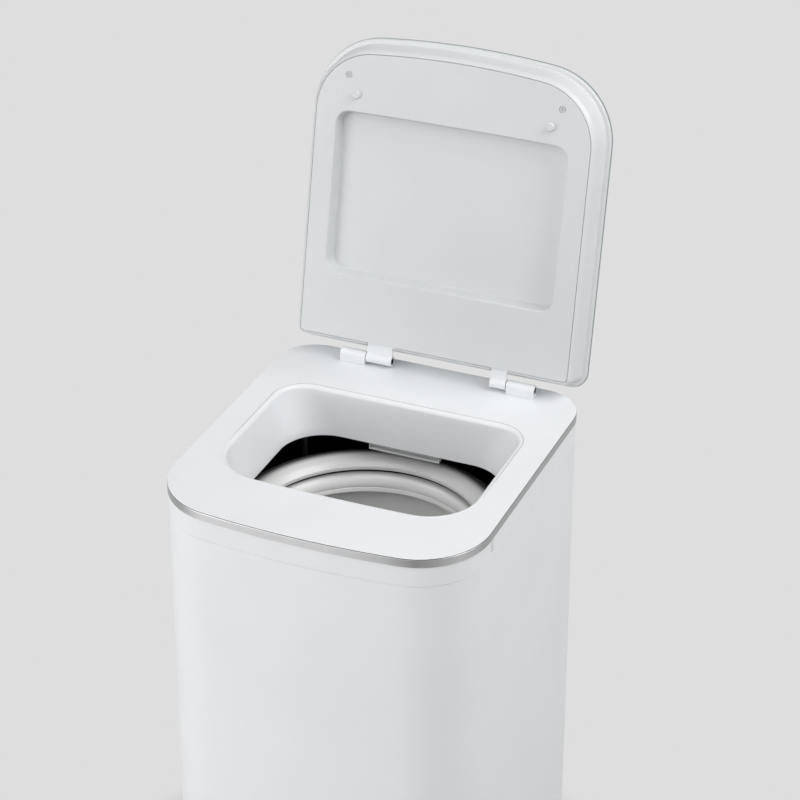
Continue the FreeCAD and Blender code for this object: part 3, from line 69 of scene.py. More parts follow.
# Outlines from above, with the lid closed: half width, front, back, corner radii, radius of the front's bow
FRONT_BOW = 1.156
LID_REACH = 0.426
BODY = dict(half=BODY_HALF, front=BODY_FRONT, back=BODY_BACK, r_front=0.093, r_rear=0.056, bow=FRONT_BOW)
MOUTH = dict(half=0.1668, front=-0.1017, back=0.137, r_front=0.0645, r_rear=0.039, bow=2.9)
THROAT = dict(half=0.1518, front=-0.0867, back=0.136, r_front=0.060, r_rear=0.060, bow=2.9)
LID = dict(half=0.2045, front=HINGE_Y - LID_REACH, back=HINGE_Y - 0.004, r_front=0.096, r_rear=0.022,
           bow=FRONT_BOW)
WINDOW = dict(half=0.159, front=HINGE_Y - 0.327, back=HINGE_Y - 0.108, r_front=0.0185, r_rear=0.0185,
              bow=8.0)
BOW_STEPS = 48
CORNER_STEPS = 28
SIDE_STEPS = 12
REAR_STEPS = 20
BACK_STEPS = 16

# Rounded edges: radius, steps, flat stretch kept beside each arc, and largest angle that shades smooth
EDGE_ROUND = 0.0003
ROUND_STEPS = 8
HOLD = 0.0003
SMOOTH_ANGLE = 40.0
TINY = 1e-9

# Walls of the cabinet: how far each stands in from the outline, and how thick it is
DECK_INSET = 0.0004
COLLAR_INSET = 0.0008
SHELL_INSET = 0.0012
TRIM_WALL = 0.002
COLLAR_WALL = 0.003
SHELL_WALL = 0.0012
LIP_INSET = 0.0026
LIP_WALL = 0.0024
SEAM_GROOVE = 0.0012
GROOVE_DEPTH = 0.0008
GROOVE_ROUND = 0.0001

# Screw caps on the collar's sides
CAP_HALF_Y = 0.004
CAP_HALF_Z = 0.0085
CAP_BASE = 0.0012
CAP_PROUD = 0.0006
CAP_GAP = 0.0003

# Corner shelves in the collar
ROD_OFFSET = 0.152
SHELF_THICKNESS = 0.008
SHELF_REACH = 0.28
ROD_HOLE = 0.0046

# Deck and funnel. The turn into the throat takes a share of the funnel's drop
DECK_EDGE_ROUND = 0.0005
SHADOW_GAP = 0.0009
SHADOW_DEPTH = 0.0012
DECK_WALL = 0.003
FUNNEL_WALL = 0.0025
MOUTH_ROUND = 0.006
CREASE = 0.0004
FUNNEL_SLOPE = math.radians(78)
FUNNEL_ROWS = 8
THROAT_DROP = 0.060
THROAT_TURN = 0.10

# Lid: heights above the hinge axis, with the lid closed
LID_BOTTOM = -0.0055
GLASS_BOTTOM = 0.0315
GLASS_TOP = 0.0355
GLASS_ROUND = 0.0012
BEAD_INSET = 0.0008
BEAD_HEIGHT = 0.004
BEAD_ROUND = 0.0018
STEP_INSET = 0.0068
STEP_HEIGHT = 0.001
STEP_ROUND = 0.0012
STEP_INNER_ROUND = 0.0004
KNEE_INSET = 0.011
KNEE_HEIGHT = 0.006
KNEE_ROUND = 0.0042
KNEE_INNER_ROUND = 0.001
TOE_INSET = 0.014
TOE_HEIGHT = 0.0014
TOE_ROUND = 0.0016
BEZEL_WALL = 0.0025
BEZEL_FLANGE = 0.008
PANEL_INSET = 0.016
PANEL_GAP = 0.0006
PANEL_WALL = 0.0025
WINDOW_DEPTH = 0.017
WINDOW_DRAFT = 0.004
WINDOW_ROUND = 0.0016
WINDOW_WALL = 0.002
FLOOR_ROUND = 0.0012

# Screws, pads and hinge ends of the lid: reach is forwards from the hinge axis
SCREW_X = 0.146
SCREW_REACH = 0.3735
SCREW_HEAD = 0.004
SCREW_DEPTH = 0.0012
SCREW_SUNK = 0.0002
SCREW_SHADE_RADIUS = 0.0016
SCREW_WELL = 0.0046
LID_TURN_STEPS = 48
CROSS_LENGTH = 0.0048
CROSS_WIDTH = 0.0011
CROSS_DEPTH = 0.0007
PAD_X = 0.133
PAD_REACH = 0.349
PAD_RADIUS = 0.0055
PAD_HEIGHT = 0.0048
PAD_EDGE = 0.0014
NOTCH_GAP = 0.0004
ARM_REACH = 0.045
ARM_TOP = 0.0004
PIN_RING = 0.0046
PIN_PROUD = 0.0002

# Tub ring: radius and height. The shoulder's arc is in shares of its rounding from the corner, and the
# lip's arc in metres from the lip's top
TURN_STEPS = 160
RING_INNER = 0.148
RING_INSIDE = 0.1862
RING_WALL = 0.0025
RING_LIP = 0.005
RING_LIP_TOP = 0.6405
RING_SHOULDER = 0.642
RING_ROUND = 0.003
RING_SHOULDER_ARC = ((0.0, -1.0), (-0.24, -0.28), (-1.0, 0.5))
RING_LIP_ARC = ((0.00125, 0.0006), (0.0003, -0.0004), (0.0, -0.0016))
RING_CREST_STEPS = 32
TUB_TOP = 0.634
TUB_INSIDE = 0.1825

# Balance ring and drum: radius and height
RIM_LIP = 0.143
RIM_LIP_TOP = 0.611
RIM_LIP_END = 0.605
RIM_CREASE = 0.0008
RIM_DOME_START = 0.6122
RIM_DOME = (0.1446, 0.6238)
RIM_DOME_STEPS = 28
RIM_SHOULDER = 0.152
RIM_ROUND = 0.004
DRUM_WALL = 0.0008
DRUM_PLUG = 0.004
LAP_CLEARANCE = 0.0002
HOLE_PITCH = 0.012
HOLE_RADIUS = 0.0018
HOLES_BOTTOM = 0.30
HOLES_TOP = 0.54

# Pulsator
PLATE_RADIUS = 0.148
PLATE_BORE = 0.008
PLATE_RIM = 0.008
PLATE_EDGE = 0.002
PLATE_EDGE_DROP = 0.0024
PLATE_BELL = 0.015
PLATE_BELL_POWER = 1.6
PLATE_HUB = 0.034
RIDGE_COUNT = 4
RIDGE_CREST = 0.038
RIDGE_FALL = 0.008
RIDGE_HALF_FOOT = 0.017
RIDGE_HALF_TIP = 0.004
RIDGE_END = 0.142
RIDGE_RUNOUT = 0.016
PLATE_ROWS = 56
PLATE_STEPS = 320

# Nodes that keep their own shape, after the width that their edges are rounded to
MERGE = 1e-6
FLAT = 0.4
EASE_ANGLE = 34.0
EASE_SEGMENTS = 3
EASED = (
    (0.0009, "hinge_base_left", "hinge_base_right"),
    (0.0006, "lid_arm_left", "lid_arm_right"),
    (0.0003, "rear_panel"),
    (0.0005, "rear_panel_screws"),
    (0.0004, "inlet_valve"),
    (0.0005, "inlet_spout", "drain_spigot"),
    (0.0006, "cord_gland", "base_tray", "foot_front_left", "foot_front_right", "foot_rear_left",
     "foot_rear_right"),
    (0.0005, "pulsator_cap"),
)

# Tones in screen levels from 0 to 255, and where they change. The trim's are painted reflections that
# go by bearing in degrees round the upright axis, 0 to the front and 90 to the right
TRIM_PAINTED_REFLECTIONS = ((-180, 214), (-62, 176), (-42, 180), (-33, 232), (12, 236), (29, 214), (38, 158), (43, 176),
              (51, 214), (61, 176), (140, 180), (180, 214))
HAIRLINE_TONE = (90, 90, 92)
HAIRLINE_SHARE = 0.16
DRUM_METALLIC = 0.05
# Span in Y over which the painted shade in the mouth's crease fades out towards the front
CREASE_SHADE_FADE = (-0.06, 0.03)
# Radii over which painted shade darkens the tub ring's outer flank
RING_SHADE_RADII = (0.161, 0.1735)
# Radii over which painted shade darkens the balance ring's outer part, under the tub ring
RIM_SHADE_RADII = (0.1445, 0.150)
BACKDROP = (222, 222, 222)
FLOOR_TONES = ((220, 220, 220), (224, 224, 224))

# Floor, lamps (place, target, size and watts) and camera
FLOOR_HALF = 12.0
SHADOW_RADII = (0.30, 0.42)
WORLD_LEVEL = 0.23
LAMPS = {
    "front_left": ((-2.2, -2.2, 1.9), (0, 0, 0.7), 2.0, 33.0),
    "front_high": ((0.2, -2.2, 3.4), (0, 0, 0.7), 2.0, 30.0),
    "right_high": ((2.1, 0.2, 3.0), (0, 0, 0.7), 2.0, 59.0),
    "low_left": ((-1.2, -1.4, 0.6), (0, 0, 0.6), 1.0, 5.0),
}
CAMERA_PLACE = (1.1340, -2.5712, DECK + 1.6885)
CAMERA_YAW = math.radians(22.881)
CAMERA_PITCH = math.radians(27.602)
CAMERA_LENS = 118.233
CAMERA_SHIFT = -0.125


class Wire:
    """One socket of a node tree. Arithmetic on wires adds Math nodes."""

    def __init__(self, tree, socket):
        self.tree = tree
        self.socket = socket

    def node(self, kind, sockets, output=0, **settings):
        """Adds a shader node: its settings first, then a value or a wire for each of its sockets."""
        added = self.tree.nodes.new("ShaderNode" + kind)
        for key, value in settings.items():
            if key == "stops":
                ramp = added.color_ramp.elements
                while len(ramp) < len(value):
                    ramp.new(0.5)
                for stop, (place, colour) in zip(ramp, value):
                    stop.position = place
                    stop.color = colour
            else:
                setattr(added, key, value)
        for key, value in sockets.items():
            if isinstance(value, Wire):
                self.tree.links.new(value.socket, added.inputs[key])
            else:
                added.inputs[key].default_value = value
        return Wire(self.tree, added.outputs[output] if added.outputs else None)

    def math(self, operation, first, second=0.0):
        return self.node("Math", {0: first, 1: second}, operation=operation)

    def __add__(self, other):
        return self.math("ADD", self, other)

    def __sub__(self, other):
        return self.math("SUBTRACT", self, other)

    def __rsub__(self, other):
        return self.math("SUBTRACT", other, self)

    def __mul__(self, other):
        return self.math("MULTIPLY", self, other)

    __radd__ = __add__
    __rmul__ = __mul__


def linear(*levels):
    """Screen levels from 0 to 255 as a linear colour."""
    share = np.array(levels) / 255
    bright = ((share + 0.055) / 1.055) ** 2.4
    return (*np.where(share > 0.04045, bright, share / 12.92).tolist(), 1.0)


def new_finish(name, make, *needs):
    """A new material. Its maker gets the coordinates on the piece, and what else it needs."""
    material = bpy.data.materials.new(name)
    material.use_nodes = True
    material.node_tree.nodes.clear()
    make(Wire(material.node_tree, None).node("TexCoord", {}, "Object"), *needs)
    return material


def split(place, axes):
    """The coordinates along the named axes."""
    return [place.node("SeparateXYZ", {0: place}, axis) for axis in axes]


def length(place):
    """Distance from the origin."""
    return place.node("VectorMath", {0: place}, "Value", operation="LENGTH")


def noise(place, scale, detail=2.0, stretch=(1, 1, 1)):
    """Cloudy pattern with features about 1 / scale across, longer along an axis with a small stretch."""
    if stretch != (1, 1, 1):
        place = place.node("Mapping", {"Vector": place, "Scale": stretch})
    return place.node("TexNoise", {"Vector": place, "Scale": scale, "Detail": detail})


def blend(mask, first, second):
    """Colour between two tones by a mask. A tone is a wire, or three screen levels."""
    first, second = (tone if isinstance(tone, Wire) else linear(*tone) for tone in (first, second))
    return mask.node("Mix", {0: mask, 6: first, 7: second}, 2, data_type="RGBA")


def between(mask, low, high):
    """The mask with its steps between low and high spread from 0 to 1, without corners."""
    return mask.node("MapRange", {"Value": mask, "From Min": low, "From Max": high},
                     interpolation_type="SMOOTHSTEP")


def surface(colour, roughness, relief, depth, **constants):
    """Closes a material: colour and roughness, and a relief of the given depth in metres."""
    bump = relief.node("Bump", {"Height": relief, "Distance": depth})
    shader = relief.node("BsdfPrincipled", {
        "Base Color": colour, "Roughness": roughness, "Normal": bump,
        **{name.replace("_", " "): value for name, value in constants.items()}})
    relief.node("OutputMaterial", {"Surface": shader})


def mottled(place, pale, deep, gloss, swing, clouds, grain, depth, spread=(0.3, 0.7), **constants):
    """Two tones in soft clouds, under a grain that dents the surface and makes its roughness swing.

    Clouds and grain are each a scale and a detail, and spread is the part of the clouds' range in use.
    """
    tone = between(noise(place, *clouds), *spread)
    pores = noise(place, *grain)
    surface(blend(tone, deep, pale), gloss + swing * (pores - 0.5), pores, depth, **constants)


def moulding(place, pale, deep, gloss):
    """Moulded plastic: faint flow clouds in its colour and a fine spark-eroded grain."""
    mottled(place, pale, deep, gloss, swing=0.10, clouds=(9.0, 3.0), grain=(1400.0, 2.0), depth=0.00004)


def coated_steel(place, pale, deep):
    """Powder-coated sheet: a shallow orange-peel relief and a soft sheen."""
    mottled(place, pale, deep, 0.36, swing=0.10, clouds=(5.0, 2.0), grain=(320.0, 2.0), depth=0.00003)


def cast_metal(place, pale, deep, metallic):
    """Cast or painted metal: coarse sand texture."""
    mottled(place, pale, deep, 0.5, swing=0.2, clouds=(30.0, 3.0), grain=(700.0, 4.0), depth=0.00012,
            Metallic=metallic)


def rubber(place, pale, deep):
    """Dull rubber with a dusty bloom."""
    mottled(place, pale, deep, 0.75, swing=0.12, clouds=(40.0, 4.0), grain=(900.0, 2.0), depth=0.00006,
            spread=(0.35, 0.75))


def backed_glass(place, face, shade):
    """Glass over a white back coat: a clear, almost level gloss on a cool white."""
    mottled(place, face, shade, 0.10, swing=0.04, clouds=(14.0, 1.0), grain=(14.0, 1.0), depth=0.00001,
            Coat_Weight=0.6, Coat_Roughness=0.03)


def brushed_metal(place, tones, gloss):
    """Brushed band: hairlines along its own U direction, and a painted reflection that turns with bearing.
    """
    chart = place.node("TexCoord", {}, "UV")
    fine = noise(chart, 1.0, stretch=(14.0, 9000.0, 1.0))
    broad = noise(chart, 1.0, stretch=(2.8, 1500.0, 1.0))
    hairline = 0.6 * fine + 0.4 * broad
    x, y = split(place, "XY")
    bearing = x.math("ARCTAN2", x, -1.0 * y) * (0.5 / math.pi) + 0.5
    # Painted reflection: the band's tone changes with bearing, brighter and darker round the corners
    stops = [(degrees / 360 + 0.5, linear(level, level, level + 1)) for degrees, level in tones]
    sheen = bearing.node("ValToRGB", {"Fac": bearing}, stops=stops)
    colour = blend(HAIRLINE_SHARE * between(hairline, 0.3, 0.7), sheen, HAIRLINE_TONE)
    surface(colour, gloss + 0.18 * (hairline - 0.5), hairline, 0.00002, Metallic=1.0)


def rolled_metal(place, pale, deep, gloss, spangle=0.0):
    """Plain or galvanised metal: fine rolling marks along X, and crystals where there is a zinc coat."""
    marks = noise(place, 60.0, 3.0, stretch=(0.1, 1.0, 1.0))
    mask = marks
    if spangle:
        cells = place.node("TexVoronoi", {"Vector": place, "Scale": spangle}, "Color")
        mask = 0.4 * marks + 0.6 * cells.node("SeparateColor", {"Color": cells})
    surface(blend(mask, deep, pale), gloss + 0.25 * (mask - 0.5), marks, 0.00002, Metallic=1.0)


def perforated_steel(place, pale, deep):
    """Rolled drum sheet with rows of small round holes, each row half a pitch round from the last."""
    x, y, z = split(place, "XYZ")
    count = round(2 * math.pi * DRUM_OUTER / HOLE_PITCH)
    rows = z * (1 / HOLE_PITCH)
    stagger = 0.5 * rows.math("FLOOR", rows)
    round_share = x.math("ARCTAN2", y, x) * (count / (2 * math.pi)) + stagger
    across = round_share.math("FRACT", round_share) - 0.5
    up = rows.math("FRACT", rows) - 0.5
    square = across * across + up * up
    inside_hole = square.math("LESS_THAN", square, (HOLE_RADIUS / HOLE_PITCH) ** 2)
    low = z.math("GREATER_THAN", z, HOLES_BOTTOM)
    high = z.math("LESS_THAN", z, HOLES_TOP)
    marks = noise(place, 14.0, 1.0, stretch=(1.0, 1.0, 0.08))
    surface(blend(between(marks, 0.3, 0.7), deep, pale), 0.30 + 0.16 * (marks - 0.5), marks, 0.00002,
            Metallic=DRUM_METALLIC, Alpha=1.0 - inside_hole * low * high)


def two_tone(place, mask, near, far, gloss):
    """Closes a fine-grained moulding whose tone goes from near to far by a mask."""
    pores = noise(place, 1400.0)
    surface(blend(mask, near, far), gloss + 0.08 * (pores - 0.5), pores, 0.00003)


def turned_moulding_painted_shade(place, crest, flank, radii, gloss):
    """Moulded ring round the drum's axis: painted shade darkens it from crest to flank between two radii."""
    flat = place.node("VectorMath", {0: place, 1: (1, 1, 0)}, operation="MULTIPLY")
    two_tone(place, between(length(flat), *radii), crest, flank, gloss)


def fading_crease_shade(place, plain, line, gloss):
    """Moulded crease round the mouth: painted shade in it, fading into the deck towards the front."""
    y, = split(place, "Y")
    two_tone(place, between(y, *CREASE_SHADE_FADE), plain, line, gloss)


def circuit_board(place, mask, track):
    """Green solder mask with copper tracks under it."""
    tracks = place.node("TexBrick", {"Vector": place, "Scale": 60.0, "Mortar Size": 0.03}, "Fac")
    weave = noise(place, 500.0)
    surface(blend(tracks, mask, track), 0.35 + 0.1 * (weave - 0.5), tracks, 0.00005)


# Each finish: its maker, its tones, and what else the maker needs
RECIPES = {
    "white_coated_steel": (coated_steel, (240, 242, 244), (237, 239, 241)),
    "white_moulding": (moulding, (240, 242, 244), (237, 239, 241), 0.34),
    "lid_glass": (backed_glass, (222, 229, 231), (219, 226, 229)),
    "glass_edge": (backed_glass, (132, 146, 147), (120, 136, 137)),
    "back_coat": (moulding, (238, 239, 240), (235, 236, 237), 0.4),
    "lid_white": (moulding, (225, 227, 228), (222, 224, 225), 0.34),
    "lid_panel_white": (moulding, (222, 224, 225), (219, 221, 222), 0.38),
    "cap_white": (moulding, (226, 227, 228), (222, 223, 224), 0.42),
    "screw_white": (cast_metal, (214, 216, 217), (206, 208, 209), 0.0),
    "screw_socket": (cast_metal, (120, 121, 122), (104, 105, 106), 0.2),
    "bush_grey": (moulding, (168, 169, 170), (158, 159, 160), 0.5),
    # brushed_trim's tones by bearing are painted reflections
    "brushed_trim": (brushed_metal, TRIM_PAINTED_REFLECTIONS, 0.30),
    "gap_shadow": (moulding, (70, 71, 72), (60, 61, 62), 0.6),
    "line_grey": (fading_crease_shade, (237, 239, 241), (189, 191, 193), 0.4),
    "ring_moulding": (turned_moulding_painted_shade, (220, 220, 219), (76, 76, 75), RING_SHADE_RADII, 0.22),
    "rim_moulding": (turned_moulding_painted_shade, (247, 247, 246), (170, 170, 169), RIM_SHADE_RADII, 0.24),
    "drum_steel": (perforated_steel, (250, 250, 249), (245, 245, 244)),
    "grey_moulding": (moulding, (216, 217, 217), (211, 212, 212), 0.42),
    "tub_moulding": (moulding, (60, 60, 60), (50, 50, 50), 0.5),
    "dark_moulding": (moulding, (52, 53, 55), (42, 43, 45), 0.5),
    # dark_primer also serves as painted shade inside the cabinet and on the balance ring's outer top
    "dark_primer": (coated_steel, (30, 30, 31), (22, 22, 23)),
    "stainless": (rolled_metal, (206, 206, 205), (190, 190, 189), 0.34),
    "plated_fasteners": (rolled_metal, (190, 190, 188), (160, 160, 158), 0.32),
    "galvanised_plate": (rolled_metal, (186, 190, 194), (150, 154, 158), 0.42, 90.0),
    "cast_alloy": (cast_metal, (176, 176, 174), (150, 150, 148), 0.8),
    "motor_paint": (cast_metal, (70, 72, 76), (56, 58, 62), 0.0),
    "magnet_grey": (cast_metal, (84, 84, 86), (66, 66, 68), 0.6),
    "pale_rubber": (rubber, (224, 226, 227), (218, 220, 221)),
    "black_rubber": (rubber, (44, 44, 44), (28, 28, 28)),
    "board_green": (circuit_board, (24, 84, 44), (62, 128, 74)),
}
FINISHES = {name: new_finish(name, *recipe) for name, recipe in RECIPES.items()}


def rounded(*corners):
    """Closed profile: each corner (a, b) or (a, b, radius) becomes an arc that touches both of its sides.

    A point is kept a little way along each side, so that the side shades flat up to its arc.
    """
    places = np.array([corner[:2] for corner in corners], float)
    radius = np.array([(*corner, EDGE_ROUND)[2] for corner in corners])[:, None]
    back = np.roll(places, 1, 0) - places
    ahead = np.roll(places, -1, 0) - places
    back = back / np.linalg.norm(back, axis=1, keepdims=True)
    ahead = ahead / np.linalg.norm(ahead, axis=1, keepdims=True)
    half = np.arccos((back * ahead).sum(1, keepdims=True)) / 2
    middle = back + ahead
    centre = places + middle / np.linalg.norm(middle, axis=1, keepdims=True) * radius / np.sin(half)
    start = places + back * radius / np.tan(half)
    end = places + ahead * radius / np.tan(half)
    turn = math.pi - 2 * half
    share = np.linspace(0, 1, ROUND_STEPS + 1)
    first = (np.sin((1 - share) * turn) / np.sin(turn))[..., None] * (start - centre)[:, None]
    second = (np.sin(share * turn) / np.sin(turn))[..., None] * (end - centre)[:, None]
    arcs = centre[:, None] + first + second
    held = (start + back * HOLD)[:, None], arcs, (end + ahead * HOLD)[:, None]
    return np.concatenate(held, 1).reshape(-1, 2)


def quarter(first, corner, last):
    """Quarter of an ellipse from first to last, whose end tangents meet at the corner."""
    first, corner, last = np.array((first, corner, last), float)
    turn = np.linspace(0, math.pi / 2, ROUND_STEPS + 1)[:, None]
    return corner + (first - corner) * (1 - np.sin(turn)) + (last - corner) * (1 - np.cos(turn))


def arc_through(first, middle, last, steps):
    """Points of the circular arc through three points (a, b), from the first to the last."""
    first, middle, last = np.array((first, middle, last), float)
    sides = 2 * np.array([middle - first, last - first])
    squares = np.array([middle @ middle - first @ first, last @ last - first @ first])
    centre = np.linalg.solve(sides, squares)
    angles = np.unwrap([math.atan2(*(point - centre)[::-1]) for point in (first, middle, last)])
    turn = np.linspace(angles[0], angles[2], steps)
    return centre + np.linalg.norm(first - centre) * np.stack([np.cos(turn), np.sin(turn)], 1)


def outline(inset, half, front, back, r_front, r_rear, bow):
    """Loops of points (x, y), one for each inset that the outline is moved in by.

    The front is an arc of radius bow, the front corners are arcs that touch it and the straight sides,
    and the rear corners are arcs between the sides and the straight back.
    """
    sizes = half - inset, front + inset, back - inset, r_front - inset, r_rear - inset, bow - inset
    sizes = np.broadcast_arrays(*sizes)
    half, front, back, r_front, r_rear, bow = (np.reshape(size, (-1, 1)) for size in sizes)
    corner_x = half - r_front
    corner_y = front + bow - np.sqrt((bow - r_front) ** 2 - corner_x ** 2)
    lean = np.arcsin(corner_x / (bow - r_front))
    rear_x = half - r_rear
    rear_y = back - r_rear
    bow_turn = lean * np.linspace(-1, 1, BOW_STEPS, endpoint=False)
    corner = np.linspace(0, 1, CORNER_STEPS, endpoint=False)
    right_turn = lean + (math.pi / 2 - lean) * corner
    left_turn = -math.pi / 2 + (math.pi / 2 - lean) * corner
    side = np.linspace(0, 1, SIDE_STEPS, endpoint=False)
    rear_turn = np.linspace(0, math.pi / 2, REAR_STEPS, endpoint=False)
    across = np.linspace(1, -1, BACK_STEPS, endpoint=False)
    x = [bow * np.sin(bow_turn), corner_x + r_front * np.sin(right_turn), half + 0 * side,
         rear_x + r_rear * np.cos(rear_turn), rear_x * across, -rear_x - r_rear * np.sin(rear_turn),
         -half + 0 * side, -corner_x + r_front * np.sin(left_turn)]
    y = [front + bow - bow * np.cos(bow_turn), corner_y - r_front * np.cos(right_turn),
         corner_y + (rear_y - corner_y) * side, rear_y + r_rear * np.sin(rear_turn), back + 0 * across,
         rear_y + r_rear * np.cos(rear_turn), rear_y + (corner_y - rear_y) * side,
         corner_y - r_front * np.cos(left_turn)]
    return np.stack([np.concatenate(x, 1), np.concatenate(y, 1)], -1)


def lifted(loops, z):
    """Loops of (x, y) with a height for each loop."""
    heights = np.broadcast_to(np.reshape(z, (-1, 1, 1)), (*loops.shape[:2], 1))
    return np.concatenate([loops, heights], 2)


def around(rows, sizes):
    """Rows of (inset, height) carried round an outline."""
    return lifted(outline(rows[:, 0], **sizes), rows[:, 1])


def opened(grid):
    """Points of the closed lid, with heights above the hinge axis, swung open."""
    reach = HINGE_Y - grid[..., 1]
    height = grid[..., 2]
    return np.stack([grid[..., 0],
                     HINGE_Y - reach * math.cos(LID_OPEN) + height * math.sin(LID_OPEN),
                     HINGE_Z + reach * math.sin(LID_OPEN) + height * math.cos(LID_OPEN)], -1)


def turned(profile, steps=TURN_STEPS):
    """A profile of (radius, height) turned about the drum's axis."""
    turn = np.linspace(0, 2 * math.pi, steps, endpoint=False)
    radius, height = profile[:, :1], profile[:, 1:]
    return np.stack([radius * np.cos(turn), radius * np.sin(turn), height + 0 * turn], -1)


def capped(loops, first, last):
    """Rows closed at both ends by a single point."""
    first, last = (np.broadcast_to(point, (1, *loops.shape[1:])) for point in (first, last))
    return np.concatenate([first, loops, last], 0)


def prism(loop, axis, start, end):
    """A flat loop of points (a, b) carried along an axis from start to end, with flat ends."""
    others = [k for k in range(3) if k != axis]
    grid = np.zeros((2, len(loop), 3))
    grid[:, :, others] = loop
    grid[:, :, axis] = np.array([[start], [end]])
    middle = grid.mean(1)
    return capped(grid, middle[0], middle[1])


def stadium(half_a, half_b, radius, centre):
    """Rectangle with round corners, as a loop of points (a, b)."""
    turn = (np.arange(4)[:, None] + np.linspace(0, 1, ROUND_STEPS)) * math.pi / 2
    sign_a = np.array([1, -1, -1, 1])[:, None]
    sign_b = np.array([1, 1, -1, -1])[:, None]
    a = sign_a * (half_a - radius) + radius * np.cos(turn)
    b = sign_b * (half_b - radius) + radius * np.sin(turn)
    return np.stack([a.ravel() + centre[0], b.ravel() + centre[1]], 1)


def lid_block(x0, x1, reach0, reach1, low, high):
    """A box of the closed lid, swung open."""
    y0, y1 = HINGE_Y - reach0, HINGE_Y - reach1
    return opened(prism(np.array([(x0, y0), (x1, y0), (x1, y1), (x0, y1)]), 2, low, high))


def lid_pair(profile, x, reach):
    """A profile of (radius, height) turned about two upright lines of the closed lid, then swung open."""
    grid = capped(turned(profile, LID_TURN_STEPS), (0, 0, profile[0, 1]), (0, 0, profile[-1, 1]))
    return [opened(grid + np.array([side, HINGE_Y - reach, 0])) for side in (-x, x)]


def inner_strips(profile, limit):
    """True for the strips of a profile of (inset, height) that lie deeper than a limit at both edges."""
    return np.minimum(profile[:, 0], np.roll(profile[:, 0], -1)) > limit


def soft_step(share):
    """A share held between 0 and 1, without corners at either end."""
    share = np.clip(share, 0, 1)
    return share ** 2 * (3 - 2 * share)


def grid_faces(grid):
    """Corner indices, corner distances along rows and columns, face sizes and strips of one closed grid.

    Columns close on themselves. Rows do too, unless the first and last rows are single points.
    """
    rows, columns = grid.shape[:2]
    pole = np.ptp(grid[0], axis=0).max() < TINY
    index = np.arange(rows * columns).reshape(rows, columns)
    if pole:
        index[0] = index[0, 0]
        index[-1] = index[-1, 0]
    else:
        index = np.concatenate([index, index[:1]], 0)
        grid = np.concatenate([grid, grid[:1]], 0)
    index = np.concatenate([index, index[:, :1]], 1)
    grid = np.concatenate([grid, grid[:, :1]], 1)
    along = np.pad(np.cumsum(np.linalg.norm(np.diff(grid, axis=1), axis=2), 1), ((0, 0), (1, 0)))
    over = np.pad(np.cumsum(np.linalg.norm(np.diff(grid, axis=0), axis=2), 0), ((1, 0), (0, 0)))
    chart = np.stack([along, over], -1)

    def corners(values):
        return np.stack([values[:-1, :-1], values[:-1, 1:], values[1:, 1:], values[1:, :-1]], 2)

    faces, charts = corners(index), corners(chart)
    strips = np.broadcast_to(np.arange(faces.shape[0])[:, None], faces.shape[:2])
    keep = np.ones(faces.shape, bool)
    if pole:
        keep[0, :, 1] = False
        keep[-1, :, 3] = False
    a, b, c, d = np.moveaxis(corners(grid), 2, 0)
    volume = (a * np.cross(b, c)).sum() + (a * np.cross(c, d)).sum()
    if volume < 0:
        faces, charts, keep = faces[:, :, ::-1], charts[:, :, ::-1], keep[:, :, ::-1]
    return faces[keep], charts[keep], keep.sum(2).ravel(), strips.ravel()


def grid_mesh(name, grids, strip_finish=None):
    """One mesh from closed grids. strip_finish numbers the finish of each strip between two rows."""
    parts = []
    start = 0
    for grid in grids:
        faces, charts, sizes, strips = grid_faces(grid)
        finish = 0 * strips if strip_finish is None else np.array(strip_finish, int)[strips]
        parts.append((grid.reshape(-1, 3), faces + start, charts, sizes, finish))
        start += grid.shape[0] * grid.shape[1]
    points, loops, charts, sizes, finish = map(np.concatenate, zip(*parts))
    used, loops = np.unique(loops, return_inverse=True)
    mesh = bpy.data.meshes.new(name)
    mesh.vertices.add(len(used))
    mesh.vertices.foreach_set("co", points[used].ravel())
    mesh.loops.add(len(loops))
    mesh.loops.foreach_set("vertex_index", loops.ravel())
    mesh.polygons.add(len(sizes))
    mesh.polygons.foreach_set("loop_start", np.cumsum(sizes) - sizes)
    mesh.polygons.foreach_set("material_index", finish)
    mesh.update(calc_edges=True)
    mesh.uv_layers.new(name="chart").data.foreach_set("uv", charts.ravel())
    return mesh


def smooth(mesh, crease=SMOOTH_ANGLE):
    """Shades a mesh smooth, except over edges sharper than crease degrees."""
    mesh.polygons.foreach_set("use_smooth", np.ones(len(mesh.polygons), bool))
    mesh.set_sharp_from_angle(angle=math.radians(crease))


def placed(name, data):
    """A new object at the origin, in the scene."""
    thing = bpy.data.objects.new(name, data)
    bpy.context.scene.collection.objects.link(thing)
    return thing


def piece(name, body, slot, replaced, grids, finishes=None, strip_finish=None):
    """A new piece from closed grids, riding on a body and standing for its CAD nodes."""
    mesh = grid_mesh(name, grids, strip_finish)
    for finish in finishes or [slot]:
        mesh.materials.append(FINISHES[finish])
    smooth(mesh)
    thing = placed(name, mesh)
    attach(thing, body)
    if replaced:
        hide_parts(*replaced)
    return thing


def carve(thing, grids):
    """Takes the space inside each closed grid out of a piece."""
    for grid in grids:
        cutter = placed("cutter", grid_mesh("cutter", [grid]))
        cut = thing.modifiers.new("cut", "BOOLEAN")
        cut.operation = "DIFFERENCE"
        cut.solver = "EXACT"
        cut.object = cutter
        seen = thing.evaluated_get(bpy.context.evaluated_depsgraph_get())
        carved = bpy.data.meshes.new_from_object(seen)
        thing.modifiers.clear()
        spare, thing.data = thing.data, carved
        carved.name = thing.name
        bpy.data.meshes.remove(spare)
        bpy.data.objects.remove(cutter)
    smooth(thing.data)


